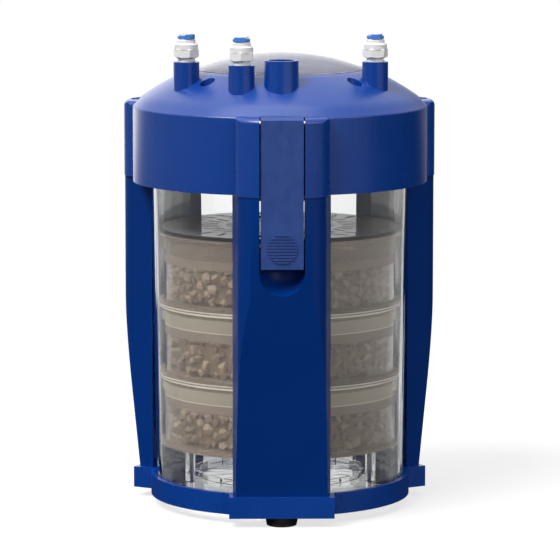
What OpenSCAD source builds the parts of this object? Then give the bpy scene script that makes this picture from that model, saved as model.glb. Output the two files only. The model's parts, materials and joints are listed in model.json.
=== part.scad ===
// Canister filter: a clear canister between three moulded legs, a latched lid with a pump,
// and a stack of three trays of filter media.
// Millimetres, Z up. The feet stand on z = 0, and the front of the filter faces -Y.
// Heights are measured from the floor, and radii from the canister's axis.

/* [Base] */
// Height of the rubber feet
foot_h = 6.2; // [5:0.1:12]
// Radius of a foot where it meets the base
foot_r = 11.2; // [8:0.1:12]
// How much smaller a foot's radius is at the floor
foot_taper = 1.3; // [0.2:0.1:2]
// Height of the base ring
ring_h = 14.3; // [11:0.1:18]
// Wall of the base ring
ring_wall = 3.2; // [2.4:0.1:4]
// Thickness of the ledge that the canister stands on
ledge_t = 5.8; // [3:0.1:8]
// Width of the ledge
ledge_w = 5; // [4:0.5:8]
// Wall of the brackets round the feet of the legs
bracket_wall = 2.5; // [1.6:0.1:4]
// Height of a screw's head
screw_head_h = 2.6; // [2:0.1:3]
// Radius of a screw's shank
screw_r = 2; // [1.5:0.1:2.4]
// Radius of a screw's head
screw_head_r = 3.6; // [3:0.1:4.2]

/* [Canister] */
// Outer radius of the canister under its flange
canister_r = 87.7; // [84:0.1:94]
// How much smaller the canister's radius is at its foot
canister_draft = 2.8; // [1:0.1:3.4]
// Height of the canister
canister_h = 228; // [200:1:300]
// Wall of the canister
canister_wall = 2.8; // [2:0.1:3.2]
// Height of the canister's floor above its foot
floor_up = 5; // [3:0.5:8]
// Thickness of the floor
floor_t = 3; // [2:0.5:4]
// Radius of the raised ring on the floor
floor_ring_r = 57; // [40:1:62]
// Number of ribs across the floor
floor_rib_count = 12; // [6:1:18]
// Free height under the lowest tray
sump_h = 23; // [12:1:40]
// How far the rim flange stands out
flange_w = 6.3; // [4:0.1:8]
// Thickness of the rim flange
flange_t = 4; // [3:0.5:6]
// Thickness of the lid seal
seal_t = 2.5; // [1.5:0.1:4]

/* [Legs] */
// Width of a leg at its back
leg_w = 65; // [58:1:72]
// Radius of a leg's rounded front
leg_round_r = 44.6; // [42:0.1:52]
// Radius between a leg's rounded front and its sides
leg_corner_r = 12; // [8:0.5:15]
// Angle at which a leg's sides spread towards its back
leg_flare = 9.4; // [4:0.2:11]
// How far the rounded front would stand out past the lid
leg_proud = 16.2; // [14:0.1:20]
// Depth of a leg at its foot
leg_foot_depth = 5.4; // [4.6:0.1:7]
// Slant of the flat panel on a leg's front
panel_tilt = 7.3; // [5:0.1:7.6]
// Wall of a leg
leg_wall = 3; // [2:0.1:4]
// Number of hollow cells in a leg
leg_cells = 4; // [2:1:6]
// Thickness of the webs between the cells
cell_web = 2.5; // [1.5:0.1:4]

/* [Lid] */
// Height of the lid's skirt
skirt_h = 51.8; // [44:0.1:60]
// How far the skirt reaches down past the canister's rim
skirt_overlap = 18; // [12:0.5:24]
// Wall of the lid
lid_wall = 3.8; // [2.5:0.1:4.5]
// Radius of the shoulder where the skirt turns in
shoulder_r = 1.8; // [1:0.1:3]
// Width of the sloping band inside the shoulder
band_w = 6.2; // [4:0.1:8]
// Height of the sloping band
band_h = 5.4; // [4:0.1:8]
// Rise of the lid's crown above the band
crown_h = 18.3; // [12:0.1:22]
// Swell of the crown over a straight cone
crown_swell = 1; // [0.5:0.1:4]
// Radius of the opening for the clear dome
dome_open_r = 57.7; // [52:0.1:58]
// Height of the clear dome
dome_h = 10.8; // [8:0.1:20]
// Thickness of the clear dome
dome_t = 2.2; // [1.5:0.1:3]
// Step between a leg's back edge and the lid rib above it
rib_inset = 1.2; // [0.6:0.1:2]
// Radius of the ribs' rounded tops
rib_top_r = 3.6; // [2:0.1:5]
// Distance of the screw pockets from the dome's opening
pocket_out = 13.3; // [12.6:0.1:15]
// Angle of the screw pockets from the front and the back
pocket_az = 43.5; // [40:0.5:46]
// Radius of the screw pockets
pocket_r = 5; // [4.4:0.1:5.2]

/* [Latches] */
// Width of a latch strap
strap_w = 28; // [24:0.5:30]
// Gap on each side of a strap
strap_gap = 0.9; // [0.5:0.1:1.5]
// Thickness of a strap
strap_t = 3.5; // [3:0.1:4.2]
// How far a strap's face stands out past the lid's skirt
strap_proud = 13; // [12:0.1:14]
// How far a strap hangs down past the skirt
strap_drop = 47; // [40:0.5:56]
// Radius of the hinge pins
pin_r = 2; // [1.5:0.1:2.4]
// Running clearance of the hinge pins, on the radius
pin_clear = 0.06; // [0.02:0.01:0.1]
// Wall of the hinge barrel round its pin
barrel_wall = 2.5; // [2:0.1:2.7]
// How far the hook reaches under its catch
hook_bite = 2.3; // [1.5:0.1:2.6]
// Slant of the catch faces
hook_slant = 24; // [20:1:30]
// Radius of the thumb pad
pad_r = 10; // [7:0.5:11]
// Number of ridges on the thumb pad
pad_ridges = 10; // [6:1:12]
// Height of the ridges
ridge_h = 0.7; // [0.4:0.1:1]
// Free height of the finger scoop under a strap
scoop_h = 18; // [14:0.5:22]

/* [Tube fittings] */
// Radius of the tube bore
tube_r = 3.2; // [2:0.05:3.3]
// Distance of the tube fittings from the dome's opening
fitting_out = 16.8; // [15.8:0.1:18]
// Radius of the stubs that carry the fittings
stub_r = 8.7; // [8:0.1:9.5]
// Height of the stubs above the lid's crown
stub_up = 7.9; // [6:0.1:16]
// Width across a fitting's hexagon
hex_af = 15; // [14:0.1:16]
// Height of a fitting's hexagon
hex_h = 6.8; // [5:0.1:9]
// Thickness of a locking clip
clip_t = 1.9; // [1.2:0.1:2.4]
// Radius of a locking clip
clip_r = 5.8; // [5.6:0.1:6.4]
// Distance of the cable port from the dome's opening
port_out = 12.3; // [12:0.1:14]
// Radius of the cable port's bore
port_bore_r = 8.8; // [7:0.1:9]
// Wall of the cable port
port_wall = 2.5; // [1.6:0.1:3]
// Height of the cable port above the lid's crown
port_up = 11.1; // [9:0.1:18]

/* [Trays] */
// Height of a tray, rim to rim in the stack
tray_h = 48.5; // [38:0.5:52]
// Wall of a tray
tray_wall = 2.2; // [1.4:0.1:3]
// Gap between a tray's rim and the canister
tray_gap = 0.9; // [0.6:0.1:2]
// How far a tray's wall stands back from its rim
rim_w = 3; // [2:0.1:4]
// Thickness of the rim and foot flanges
rim_t = 2.2; // [1.5:0.1:3]
// Height of the wider band under a rim
band_under_rim = 11; // [5:0.5:12]
// Free height between the media and the rim
media_down = 19; // [12:0.5:24]
// Number of slots in a ring of a tray's floor
slot_count = 24; // [12:1:30]
// Width of the slots
slot_w = 2.6; // [1.5:0.1:3]
// Thickness of the slotted cover on the stack
cover_t = 2.6; // [2:0.1:4]
// Number of slots in a ring of the cover
cover_slot_count = 30; // [16:1:34]

/* [Pump] */
// Outer radius of the riser tube
riser_r = 11; // [8:0.1:11.5]
// Wall of the riser tube
riser_wall = 2; // [1.2:0.1:2.4]
// Radius of the motor well
well_r = 26; // [25.6:0.1:28]
// Radius of the rotor magnet
magnet_r = 10; // [8:0.1:10.4]
// Length of the rotor magnet
magnet_h = 24; // [18:0.5:28]
// Radius of the ceramic shaft
shaft_r = 1.5; // [1.2:0.1:2]
// Radius of the impeller
impeller_r = 18; // [14:0.5:19]
// Height of the impeller's vanes
vane_h = 7; // [5:0.5:8]
// Number of vanes
vane_count = 5; // [3:1:7]

/* [Hidden] */

$fn = 96;
eps = 0.01;      // overlap that makes a cut come through cleanly
big = 400;       // longer than anything it cuts

// Clearances
seat_gap = 0.5;       // canister in the base ring
leg_gap = 0.15;       // leg in its bracket
part_gap = 0.2;       // between fixed pieces that stand side by side
top_gap = 0.2;        // between the legs' tops and the lid
flange_gap = 2.2;     // canister's flange in the lid's skirt
catch_gap = 0.4;      // between the hook and its catch
run_gap = 0.05;       // running fit on the pump shaft, on the radius
sleeve_gap = 0.6;     // trays and cover round the riser tube
socket_gap = 0.3;     // riser tube in the pump's socket
clip_gap = 0.1;        // above and below a locking clip
clip_play = 0.3;       // between a locking clip and its collet
magnet_gap = 0.5;     // magnet in its tube

// Base
leg_az = [0, 120, 240];                          // legs, from the front
ring_top = foot_h + ring_h;
ring_in = canister_r - canister_draft + seat_gap;
ring_r = ring_in + ring_wall;
bracket_r = ring_r + leg_foot_depth + bracket_wall;
bracket_w = leg_w + 2 * bracket_wall;
pocket_floor = 4.8;                              // bracket floor under a leg
foot_place_r = bracket_r - foot_r - part_gap;
foot_recess_h = 3.4;                             // counterbore in a foot
foot_screw_top = foot_h + ledge_t - 1;           // blind, under the canister's seat
head_gap = 0.3;                                  // round a screw's head
leg_screw_edge = 9;                              // from a leg's side to its screws
leg_screw_y = leg_w / 2 - leg_screw_edge;
leg_screw_bite = 8;                              // how far they go into a leg
leg_head_h = pocket_floor / 2;                   // their heads are low

// Canister
seat_z = foot_h + ledge_t;
rim_z = seat_z + canister_h;
floor_z = seat_z + floor_up;
floor_top = floor_z + floor_t;
flange_r = canister_r + flange_w;
stack_z = floor_top + sump_h;
post_r = 3.4;                                    // posts under the stack
post_place_r = 70;
post_az = [60, 180, 300];
floor_rib_h = 2.4;
floor_rib_t = 2;
floor_ring_t = 3;
floor_ring_h = 3.2;
foot_rim_w = 2;                                  // the rim under the floor, past the wall
riser_socket_h = 8;
riser_socket_wall = 2.5;
canister_foot_in = canister_r - canister_draft - canister_wall;

// Lid
lid_r = flange_r + flange_gap + lid_wall;
skirt_z = rim_z - skirt_overlap;
shoulder_z = skirt_z + skirt_h;
crease_r = lid_r - band_w;
crease_z = shoulder_z + band_h;
crown_r = dome_open_r + 3.2;                     // the crown's flat top rim
crown_z = crease_z + crown_h;
lid_in = lid_r - lid_wall;
seal_top = rim_z + seal_t;
seal_w = 4;
seal_mid_r = canister_r + seal_w / 2 + part_gap;
press_w = 7;                                     // the lid's foot on the seal
press_t = 3;
dome_seat_z = crown_z - 3;
dome_seat_w = 3.7;
dome_seal_t = 1;
collar_wall = 3;
carrier_down = 32.5;                             // the pump's carrier, under the crown
carrier_top = crown_z - carrier_down;
pocket_place_r = dome_open_r + pocket_out;
pocket_depth = 14.5;
pocket_floor_z = crown_z - pocket_depth;
pocket_wall = 1.6;
pocket_places = [pocket_az, -pocket_az, 180 - pocket_az, 180 + pocket_az];

// Legs
leg_reach = lid_r + leg_proud;
leg_round_c = leg_reach - leg_round_r;           // centre of the rounded front
leg_back = ring_r + part_gap;
leg_z = foot_h + pocket_floor;
leg_top = skirt_z - top_gap;
panel_r = ring_r + leg_foot_depth;               // the panel's foot, at the ring's top
channel_w = strap_w + 2 * strap_gap;
rib_step = 0.5;                                  // lid ribs stand out past the legs
rib_w = leg_w - 2 * rib_inset;
rib_flare = 18;                                  // the ribs spread a little into the skirt
leg_side_x = sqrt(pow(leg_back, 2) - pow(leg_w / 2, 2));  // where a leg's sides meet its back
leg_foot_x = panel_r - (ring_top - leg_z) * tan(panel_tilt);  // the panel's face, at its lowest
leg_screw_x = (sqrt(pow(leg_back, 2) - pow(leg_screw_y, 2)) + leg_foot_x) / 2;

// Latches
strap_r = lid_r + strap_proud;
strap_z = skirt_z - strap_drop;
hinge_r = strap_r - 5;                           // the pin's place
hinge_z = shoulder_z - 3.8;
head_back = 4.8;                                 // the strap's head reaches back past its pin
head_h = 4.9;                                    // and stands this far over it
head_drop = 2.4;                                 // the head slopes down to the strap's face
barrel_r = pin_r + barrel_wall;
web_back = 9;                                    // a leg's web lies this far behind the strap's face
web_r = strap_r - web_back;
web_top = strap_z + 7;
hook_root_h = 3.9;
hook_len = 3.2;
hook_tip_h = hook_root_h - hook_len * tan(hook_slant);
hook_tip_r = strap_r - strap_t - hook_len;
catch_tip_r = hook_tip_r + hook_bite;
catch_z = strap_z + hook_tip_h + catch_gap - (hook_tip_r - web_r) * tan(hook_slant);  // on the web
pad_z = strap_z + 3.5 + pad_r;
scoop_r = channel_w / 2;
scoop_z = strap_z - scoop_h + scoop_r;
leg_solid_h = 12;                                // a leg is solid this far up from its foot
cells_z0 = leg_z + leg_solid_h;
cells_z1 = strap_z - scoop_h - 5;
pin_bite = 5;                                    // how far a pin goes into a rib
pin_len = channel_w + 2 * pin_bite;

// Fittings: places from the front, turn of the hexagon, and direction of the clip's tab
fitting_az = [-57.8, -20.7, 57.8];
hex_turn = [-13.5, 27, 10.5];
tab_az = [31, -12, 8];
fitting_place_r = dome_open_r + fitting_out;
stub_top = crown_z + stub_up;
stub_down = 17.5;                                 // stubs and port reach below the crown's inner face
stub_foot_z = crown_z - stub_down;
port_down = 19.5;
port_foot_z = crown_z - port_down;
passage_r = tube_r + 1.4;                        // the water's way down a stub
hex_r = hex_af / 2;
hex_corner = 1.1;                                // corners stand out past the flats
hex_round = 1;
tier_r = hex_r + 0.3;                            // the round tier over the hexagon
tier_round = 0.9;
collar_r = hex_r - 1.3;
thread_r = 6.3;
neck_r = thread_r - 0.7;
thread_h = 10;
washer_t = 1.1;
neck_h = 1.5;
hex_z = stub_top + washer_t + neck_h;
tier_z = hex_z + hex_h;
tier_h = 3.2;
ring_z = tier_z + tier_h;
collar_h = 2.8;
clip_z = ring_z + collar_h + clip_gap;
collet_flange_z = clip_z + clip_t + clip_gap;
collet_r = tube_r + 0.9;
collet_lip = 0.7;
collet_top = collet_flange_z + 1.5;
collet_z = hex_z + 3.2;                          // the collet's lower end
oring_r = collet_r + 0.8;
oring_h = 1.8;
oring_squeeze = 0.2;                             // on the radius, round the tube
tube_wall_t = 0.8;                               // wall of the tube that plugs in
tab_w = 7.4;                                     // tab on a locking clip
tab_h = 3;
port_az = 0;
port_place_r = dome_open_r + port_out;
port_top = crown_z + port_up;
gland_sink = 1.5;                                // the gland sits this far under the crown's top
gland_top = crown_z - gland_sink;
gland_h = 9;
cable_r = 3;

// Trays
tray_rim_r = inner_r(stack_z + tray_h) - tray_gap;
tray_foot_r = inner_r(stack_z) - tray_gap;
tray_r = tray_rim_r - rim_w;
band_w_out = 1.2;                                // the band stands out past the wall
nub = 0.6;                                       // the ticks stand out past the wall
media_gap = 0.3;
tray_z = [stack_z, stack_z + tray_h, stack_z + 2 * tray_h];
stack_top = stack_z + 3 * tray_h;
tray_floor_t = 2.4;
sleeve_r = riser_r + sleeve_gap;
sleeve_wall = 1.6;
slot_rings = [24, 42, 60];                       // inner end of each ring of slots
slot_len = 13;
slot_lean = 18;                                  // the cover's slots lean in turns
cover_r = tray_r + 0.8;
tick_az = [-47, 43, 133, 223];                   // groups of three small ticks
tick_step = 2.4;
tick_w = 1.1;
tick_h = 5;

// Pump
carrier_t = 3.5;
carrier_r = dome_open_r + 4;
carrier_z = carrier_top - carrier_t;
well_floor = 2;
well_wall = 2;
boss_r = 7;                                      // the lid's screws go into these bosses
boss_h = 4.5;
well_z = skirt_z + 2;
tube_wall = 1.5;
magnet_tube_r = magnet_r + magnet_gap;
magnet_z = well_z + 5;
magnet_tube_top = magnet_z + magnet_h + 5;
cover_floor_t = 3.2;
disc_t = 1.5;
impeller_z = well_z - vane_h - 2 * disc_t;
hub_r = 4.2;
vane_t = 1.6;
cover_z = impeller_z - 1 - cover_floor_t;
socket_h = 10;
socket_wall = 2;
outlet_w = 9;
socket_z = cover_z - socket_h;
bush_r = 3.4;
shaft_z = cover_z;
shaft_top = magnet_z + magnet_h + 4;
riser_top = cover_z - 1;
inlet_w = 5;                                     // slots in the riser's foot

// Colours
shell_blue = [0.10, 0.20, 0.50];
latch_blue = [0.17, 0.27, 0.52];
clip_blue = [0.20, 0.45, 0.85];
rubber_black = [0.06, 0.06, 0.06];
clear = [0.85, 0.90, 0.92, 0.35];
stone = [0.53, 0.48, 0.42];
fitting_white = [0.88, 0.88, 0.87];
steel = [0.70, 0.71, 0.72];

// The axis lies behind the origin by half of what the front leg reaches past the lid.
front_reach = leg_round_c + sqrt(pow(leg_round_r + rib_step, 2) - pow(channel_w / 2, 2));
axis_y = (front_reach - lid_r) / 2;

// ---------------------------------------------------------------- helpers

// Stands a piece on the canister's axis.
module on_axis() translate([0, axis_y, 0]) children();

// Turns a piece drawn along +X to an angle from the front. Its +Y then points to its right.
module facing(az) rotate([0, 0, az - 90]) children();

// Puts a piece at a radius and an angle from the front.
module at(az, r) facing(az) translate([r, 0, 0]) children();

// A straight round bar or hole from z0 to z1.
module rod(r, z0, z1) translate([0, 0, z0]) cylinder(r = r, h = z1 - z0);

// A cone from radius r0 at z0 to radius r1 at z1.
module taper(r0, r1, z0, z1) translate([0, 0, z0]) cylinder(r1 = r0, r2 = r1, h = z1 - z0);

// A round tube.
module tube(r, wall, z0, z1) difference() {
    rod(r, z0, z1);
    rod(r - wall, z0 - eps, z1 + eps);
}

// A box from x0 to x1 and z0 to z1, centred on y = 0.
module slab(x0, x1, w, z0, z1) translate([x0, -w / 2, z0]) cube([x1 - x0, w, z1 - z0]);

// Extrudes an outline drawn in x and z, over a width along y.
module across(w) rotate([90, 0, 0]) linear_extrude(w, center = true) children();

// Points of an arc from p to q that swells by s to the right of the way from p to q.
function swell(p, q, s, n) = let(
        d = q - p,
        chord = norm(d),
        side = [d[1], -d[0]] / chord,
        r = (chord * chord / 4 + s * s) / (2 * s),
        half = asin(chord / 2 / r),
        c = (p + q) / 2 - side * (r - s)
    ) [for (i = [0:n]) let(a = half * (2 * i / n - 1))
        c + side * (r * cos(a)) + d / chord * (r * sin(a))];

// A step of length 1 at an angle.
function unit(a) = [cos(a), sin(a)];

// ---------------------------------------------------------------- base

// The room for a leg's foot in its bracket, just outside the ring's own wall.
module leg_pocket() difference() {
    leg_column(-leg_gap, leg_z, ring_top + eps);
    rod(ring_r + leg_gap / 2, leg_z - eps, ring_top + 2 * eps);
}

module base_ring() color(shell_blue) on_axis() difference() {
    translate([0, 0, foot_h]) linear_extrude(ring_h) {
        circle(ring_r);
        for (az = leg_az) facing(az) translate([0, -bracket_w / 2]) square([bracket_r, bracket_w]);
    }
    rod(ring_in, seat_z, ring_top + eps);
    rod(ring_in - ledge_w, foot_h - eps, seat_z + eps);
    for (az = leg_az) facing(az) {
        leg_pocket();
        translate([foot_place_r, 0, 0]) rod(screw_r, foot_h - eps, foot_screw_top);
        leg_screw_places() {
            rod(screw_r, foot_h - eps, leg_z + eps);
            rod(screw_head_r + head_gap, foot_h - eps, foot_h + leg_head_h);
        }
    }
}

// The two screws of a leg, in the leg's own frame.
module leg_screw_places() for (side = [-1, 1])
    translate([leg_screw_x, side * leg_screw_y, 0]) children();

module foot(az) color(rubber_black) on_axis() at(az, foot_place_r) difference() {
    taper(foot_r - foot_taper, foot_r, 0, foot_h);
    rod(screw_head_r + head_gap, -eps, foot_recess_h);
    rod(screw_r, 0, foot_h + eps);
}

module foot_screws() color(steel) on_axis() for (az = leg_az) at(az, foot_place_r) {
    rod(screw_head_r, foot_recess_h - screw_head_h, foot_recess_h);
    rod(screw_r, foot_recess_h - eps, foot_screw_top);
}

module leg_screws() color(steel) on_axis() for (az = leg_az) facing(az) leg_screw_places() {
    rod(screw_head_r, foot_h, foot_h + leg_head_h);
    rod(screw_r, foot_h + leg_head_h - eps, leg_z + leg_screw_bite);
}

// ---------------------------------------------------------------- legs

// Everything in front of a leg's slanted panel, moved back by the distance in.
module before_panel(in) translate([panel_r - in, 0, ring_top])
    rotate([0, panel_tilt, 0]) slab(0, big, big, -big, big);

// The centre of the corner of radius f that joins a front of radius rho to a side that
// starts at [x, y] and closes in by the angle flare.
function corner_centre(rho, x, y, flare, f) = let(
        along = [cos(flare), -sin(flare)],
        start = [x, y] - f * [sin(flare), cos(flare)] - [leg_round_c, 0],
        way = -start * along + sqrt(pow(start * along, 2) - start * start + pow(rho - f, 2))
    ) start + [leg_round_c, 0] + way * along;

// A column's outline: flared sides from its back, round corners and a rounded front.
function column_outline(rho, x, y, flare, f) = let(
        c = [leg_round_c, 0],
        k = corner_centre(rho, x, y, flare, f),
        side = 90 - flare,                   // the way a side faces
        turn = atan2(k[1], k[0] - c[0]),     // where a corner runs into the front
        half = concat(
            [[c[0], y + (x - c[0]) * tan(flare)]],
            [for (i = [0:8]) k + f * unit(side + (turn - side) * i / 8)],
            [for (i = [1:20]) c + rho * unit(turn * (1 - i / 20))])
    ) concat(half, [for (i = [len(half) - 2:-1:0]) [half[i][0], -half[i][1]]]);

module column(rho, x, y, flare, f, z0, z1)
    translate([0, 0, z0]) linear_extrude(z1 - z0) polygon(column_outline(rho, x, y, flare, f));

// A leg's column, thinner by the distance in on its front and sides.
module leg_column(in, z0, z1) difference() {
    column(leg_round_r - in, leg_side_x, leg_w / 2 - in, leg_flare, leg_corner_r - in, z0, z1);
    before_panel(in);
}

// The hollow cells, open towards the canister.
module leg_cells_cut() {
    cell = (cells_z1 - cells_z0 - (leg_cells - 1) * cell_web) / leg_cells;
    for (i = [0:leg_cells - 1]) let(z = cells_z0 + i * (cell + cell_web))
        leg_column(leg_wall, z, z + cell);
}

module leg(az) color(shell_blue) on_axis() facing(az) {
    difference() {
        leg_column(0, leg_z, leg_top);
        rod(leg_back, leg_z - eps, leg_top + eps);
        leg_cells_cut();
        // the channel behind the strap, open right through above the web
        slab(leg_side_x, big, channel_w, web_top, leg_top + eps);
        slab(web_r, big, channel_w, scoop_z, leg_top + eps);
        // the finger scoop
        intersection() {
            translate([strap_r, 0, scoop_z]) sphere(r = scoop_r);
            slab(leg_side_x, big, channel_w, 0, strap_z);
        }
        leg_screw_places() rod(screw_r, leg_z - eps, leg_z + leg_screw_bite);
    }
    // the catch that the latch hooks under
    across(channel_w) polygon([
        [web_r - 1, web_top],
        [catch_tip_r, web_top],
        [catch_tip_r, catch_z + (catch_tip_r - web_r) * tan(hook_slant)],
        [web_r - 1, catch_z - tan(hook_slant)]
    ]);
}

// ---------------------------------------------------------------- canister

// Inner radius of the canister at a height.
function inner_r(z) = canister_foot_in + canister_draft * (z - seat_z) / canister_h;

module canister() color(clear) on_axis() difference() {
    union() {
        difference() {
            union() {
                taper(canister_r - canister_draft, canister_r, seat_z, rim_z);
                rod(flange_r, rim_z - flange_t, rim_z);
            }
            taper(inner_r(floor_top), inner_r(rim_z), floor_top, rim_z + eps);
            rod(canister_foot_in - foot_rim_w, seat_z - eps, floor_z);
        }
        tube(floor_ring_r + floor_ring_t / 2, floor_ring_t,
            floor_top - eps, floor_top + floor_ring_h);
        for (i = [0.5:floor_rib_count]) at(i * 360 / floor_rib_count, 0)
            slab(riser_r + riser_socket_wall, floor_ring_r, floor_rib_t,
                floor_top - eps, floor_top + floor_rib_h);
        tube(riser_r + part_gap + riser_socket_wall, riser_socket_wall,
            floor_top - eps, floor_top + riser_socket_h);
        for (az = post_az) at(az, post_place_r) rod(post_r, floor_top - eps, stack_z);
    }
}

module canister_seal() color(rubber_black) on_axis()
    tube(seal_mid_r + seal_w / 2, seal_w, rim_z, seal_top);

module riser_tube() color(fitting_white) on_axis() difference() {
    tube(riser_r, riser_wall, floor_top, riser_top);
    // inlet slots near the floor
    for (a = [0:60:179]) rotate([0, 0, a + 30])
        slab(-big / 2, big / 2, inlet_w, floor_top + riser_socket_h + 2, stack_z - 3);
}

// ---------------------------------------------------------------- trays

module tray_slots(z0, z1) for (ring = [0:2]) for (i = [0:slot_count - 1])
    at((i + ring / 2) * 360 / slot_count, 0)
        slab(slot_rings[ring], slot_rings[ring] + slot_len, slot_w, z0, z1);

module tray(i) color(clear) on_axis() translate([0, 0, tray_z[i]]) {
    difference() {
        union() {
            rod(tray_r, 0, tray_h);
            rod(tray_foot_r, 0, rim_t);
            rod(tray_r + band_w_out, tray_h - band_under_rim, tray_h);
            rod(tray_rim_r, tray_h - rim_t, tray_h);
            for (az = tick_az) for (k = [-1:1]) rotate([0, 0, k * tick_step]) at(az, 0)
                slab(tray_r - 1, tray_r + nub, tick_w, rim_t - eps, rim_t + tick_h);
        }
        difference() {
            rod(tray_r - tray_wall, tray_floor_t, tray_h + eps);
            rod(sleeve_r + sleeve_wall, 0, tray_h + 2 * eps);
        }
        rod(tray_r + band_w_out - tray_wall, tray_h - band_under_rim + band_w_out, tray_h + eps);
        rod(sleeve_r, -eps, tray_h + eps);
        tray_slots(-eps, tray_floor_t + eps);
    }
    tube(sleeve_r + sleeve_wall, sleeve_wall, tray_floor_t - eps, tray_h - 1);
}

module media(i) color(stone) on_axis() translate([0, 0, tray_z[i]])
    tube(tray_r - tray_wall - media_gap,
        tray_r - tray_wall - sleeve_r - sleeve_wall - 2 * media_gap,
        tray_floor_t, tray_h - media_down);

module tray_cover() color(clear) on_axis() difference() {
    tube(cover_r, cover_r - sleeve_r, stack_top, stack_top + cover_t);
    for (ring = [0:2]) for (i = [0:cover_slot_count - 1])
        at((i + ring / 2) * 360 / cover_slot_count, slot_rings[ring] + slot_len / 2)
            rotate([0, 0, ring == 1 ? -slot_lean : slot_lean])
                slab(-slot_len / 2, slot_len / 2, slot_w,
                    stack_top - eps, stack_top + cover_t + eps);
}

module tray_gasket() color(rubber_black) on_axis()
    tube(tray_rim_r + 0.2, tray_rim_r + 0.2 - cover_r - part_gap, stack_top, stack_top + rim_t);

// ---------------------------------------------------------------- lid

// The crown's outline from the crease to the opening, lowered by the distance down.
function crown_line(down) =
    swell([crease_r, crease_z - down], [crown_r, crown_z - down], crown_swell, 10);

module lid_shell() rotate_extrude() polygon(concat(
    [[lid_in, skirt_z], [lid_r, skirt_z]],
    [for (a = [0:15:60]) [lid_r - shoulder_r + shoulder_r * cos(a),
        shoulder_z - shoulder_r + shoulder_r * sin(a)]],
    crown_line(0),
    [
        [dome_open_r, crown_z],
        [dome_open_r, dome_seat_z],
        [dome_open_r - dome_seat_w, dome_seat_z],
        [dome_open_r - dome_seat_w, dome_seat_z - 2.5],
        [dome_open_r, dome_seat_z - 2.5],
        [dome_open_r, carrier_top],
        [dome_open_r + collar_wall, carrier_top]
    ],
    [for (i = [9:-1:0]) crown_line(lid_wall)[i]],
    [[lid_in, shoulder_z - 1]]
));

// The two ribs beside a strap, with their rounded tops.
module lid_ribs() difference() {
    intersection() {
        column(leg_round_r + rib_step, lid_r, rib_w / 2, rib_flare, leg_corner_r,
            skirt_z, shoulder_z);
        translate([leg_round_c, 0, 0]) {
            rod(leg_round_r + rib_step, skirt_z, shoulder_z - rib_top_r);
            rod(leg_round_r + rib_step - rib_top_r, skirt_z, shoulder_z);
            translate([0, 0, shoulder_z - rib_top_r]) rotate_extrude()
                translate([leg_round_r + rib_step - rib_top_r, 0]) circle(rib_top_r);
        }
        rotate([90, 0, 90]) linear_extrude(big) rib_outline();
    }
    rod(lid_r - lid_wall / 2, skirt_z - eps, shoulder_z + eps);
    slab(lid_r, big, channel_w, skirt_z - eps, shoulder_z + eps);
}

// The ribs' outline in width and height, with round outer corners.
module rib_outline() {
    translate([-rib_w / 2, skirt_z]) square([rib_w, skirt_h - rib_top_r]);
    translate([-rib_w / 2 + rib_top_r, skirt_z]) square([rib_w - 2 * rib_top_r, skirt_h]);
    for (side = [-1, 1]) translate([side * (rib_w / 2 - rib_top_r), shoulder_z - rib_top_r])
        circle(rib_top_r);
}

module lid() color(shell_blue) on_axis() difference() {
    union() {
        lid_shell();
        // the inner wall that presses on the seal
        tube(seal_mid_r + press_t / 2, press_t, seal_top + press_t - eps, crease_z);
        tube(seal_mid_r + press_w / 2, press_w, seal_top, seal_top + press_t);
        for (az = leg_az) facing(az) lid_ribs();
        for (az = fitting_az) at(az, fitting_place_r) rod(stub_r, stub_foot_z, stub_top);
        at(port_az, port_place_r)
            taper(port_bore_r + port_wall + 0.5, port_bore_r + port_wall, port_foot_z, port_top);
        for (az = pocket_places) at(az, pocket_place_r) intersection() {
            rod(pocket_r + pocket_wall, carrier_top, crown_z);
            translate([-pocket_place_r, 0, 0]) under_crown();
        }
    }
    for (az = fitting_az) at(az, fitting_place_r) {
        rod(thread_r, stub_top - thread_h, stub_top + eps);
        rod(passage_r, stub_foot_z - eps, stub_top);
    }
    at(port_az, port_place_r) rod(port_bore_r, port_foot_z - eps, port_top + eps);
    for (az = pocket_places) at(az, pocket_place_r) {
        rod(pocket_r, pocket_floor_z, crown_z + 1);
        rod(screw_r, carrier_top - eps, pocket_floor_z + eps);
    }
    for (az = leg_az) facing(az) pin_bar();
}

// The space under the lid's crown, drawn round the axis.
module under_crown() rotate_extrude() polygon(concat(
    [[0, carrier_top - eps], [crease_r, carrier_top - eps]],
    crown_line(0.5),
    [[0, crown_z - 0.5]]
));

// A hinge pin, in its leg's frame. Both of its ends lie inside the ribs.
module pin_bar() translate([hinge_r, 0, hinge_z]) rotate([90, 0, 0])
    cylinder(r = pin_r, h = pin_len, center = true);

module latch_pins() color(steel) on_axis() for (az = leg_az) facing(az) pin_bar();

module lid_dome() color(clear) on_axis() {
    base = dome_seat_z + dome_seal_t;
    seat_r = dome_open_r - 0.3;
    dome_z = crown_z + 0.3;                      // foot of the ball
    rim = 5;                                     // flat foot on the seal
    ball_r = (seat_r * seat_r + dome_h * dome_h) / (2 * dome_h);
    difference() {
        union() {
            rod(seat_r, base, dome_z);
            intersection() {
                translate([0, 0, dome_z + dome_h - ball_r]) sphere(r = ball_r);
                rod(seat_r, dome_z - eps, dome_z + dome_h + 1);
            }
        }
        intersection() {
            translate([0, 0, dome_z + dome_h - ball_r]) sphere(r = ball_r - dome_t);
            rod(seat_r - rim, base - eps, dome_z + dome_h + 1);
        }
        rod(seat_r - rim, base - eps, base + 1.4);
    }
}

module dome_seal() color(rubber_black) on_axis()
    tube(dome_open_r - 0.5, dome_seat_w - 1, dome_seat_z, dome_seat_z + dome_seal_t);

module lid_screws() color(steel) on_axis() for (az = pocket_places) at(az, pocket_place_r) {
    rod(screw_head_r, pocket_floor_z, pocket_floor_z + screw_head_h);
    rod(screw_r, carrier_z - boss_h, pocket_floor_z + eps);
}

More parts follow.
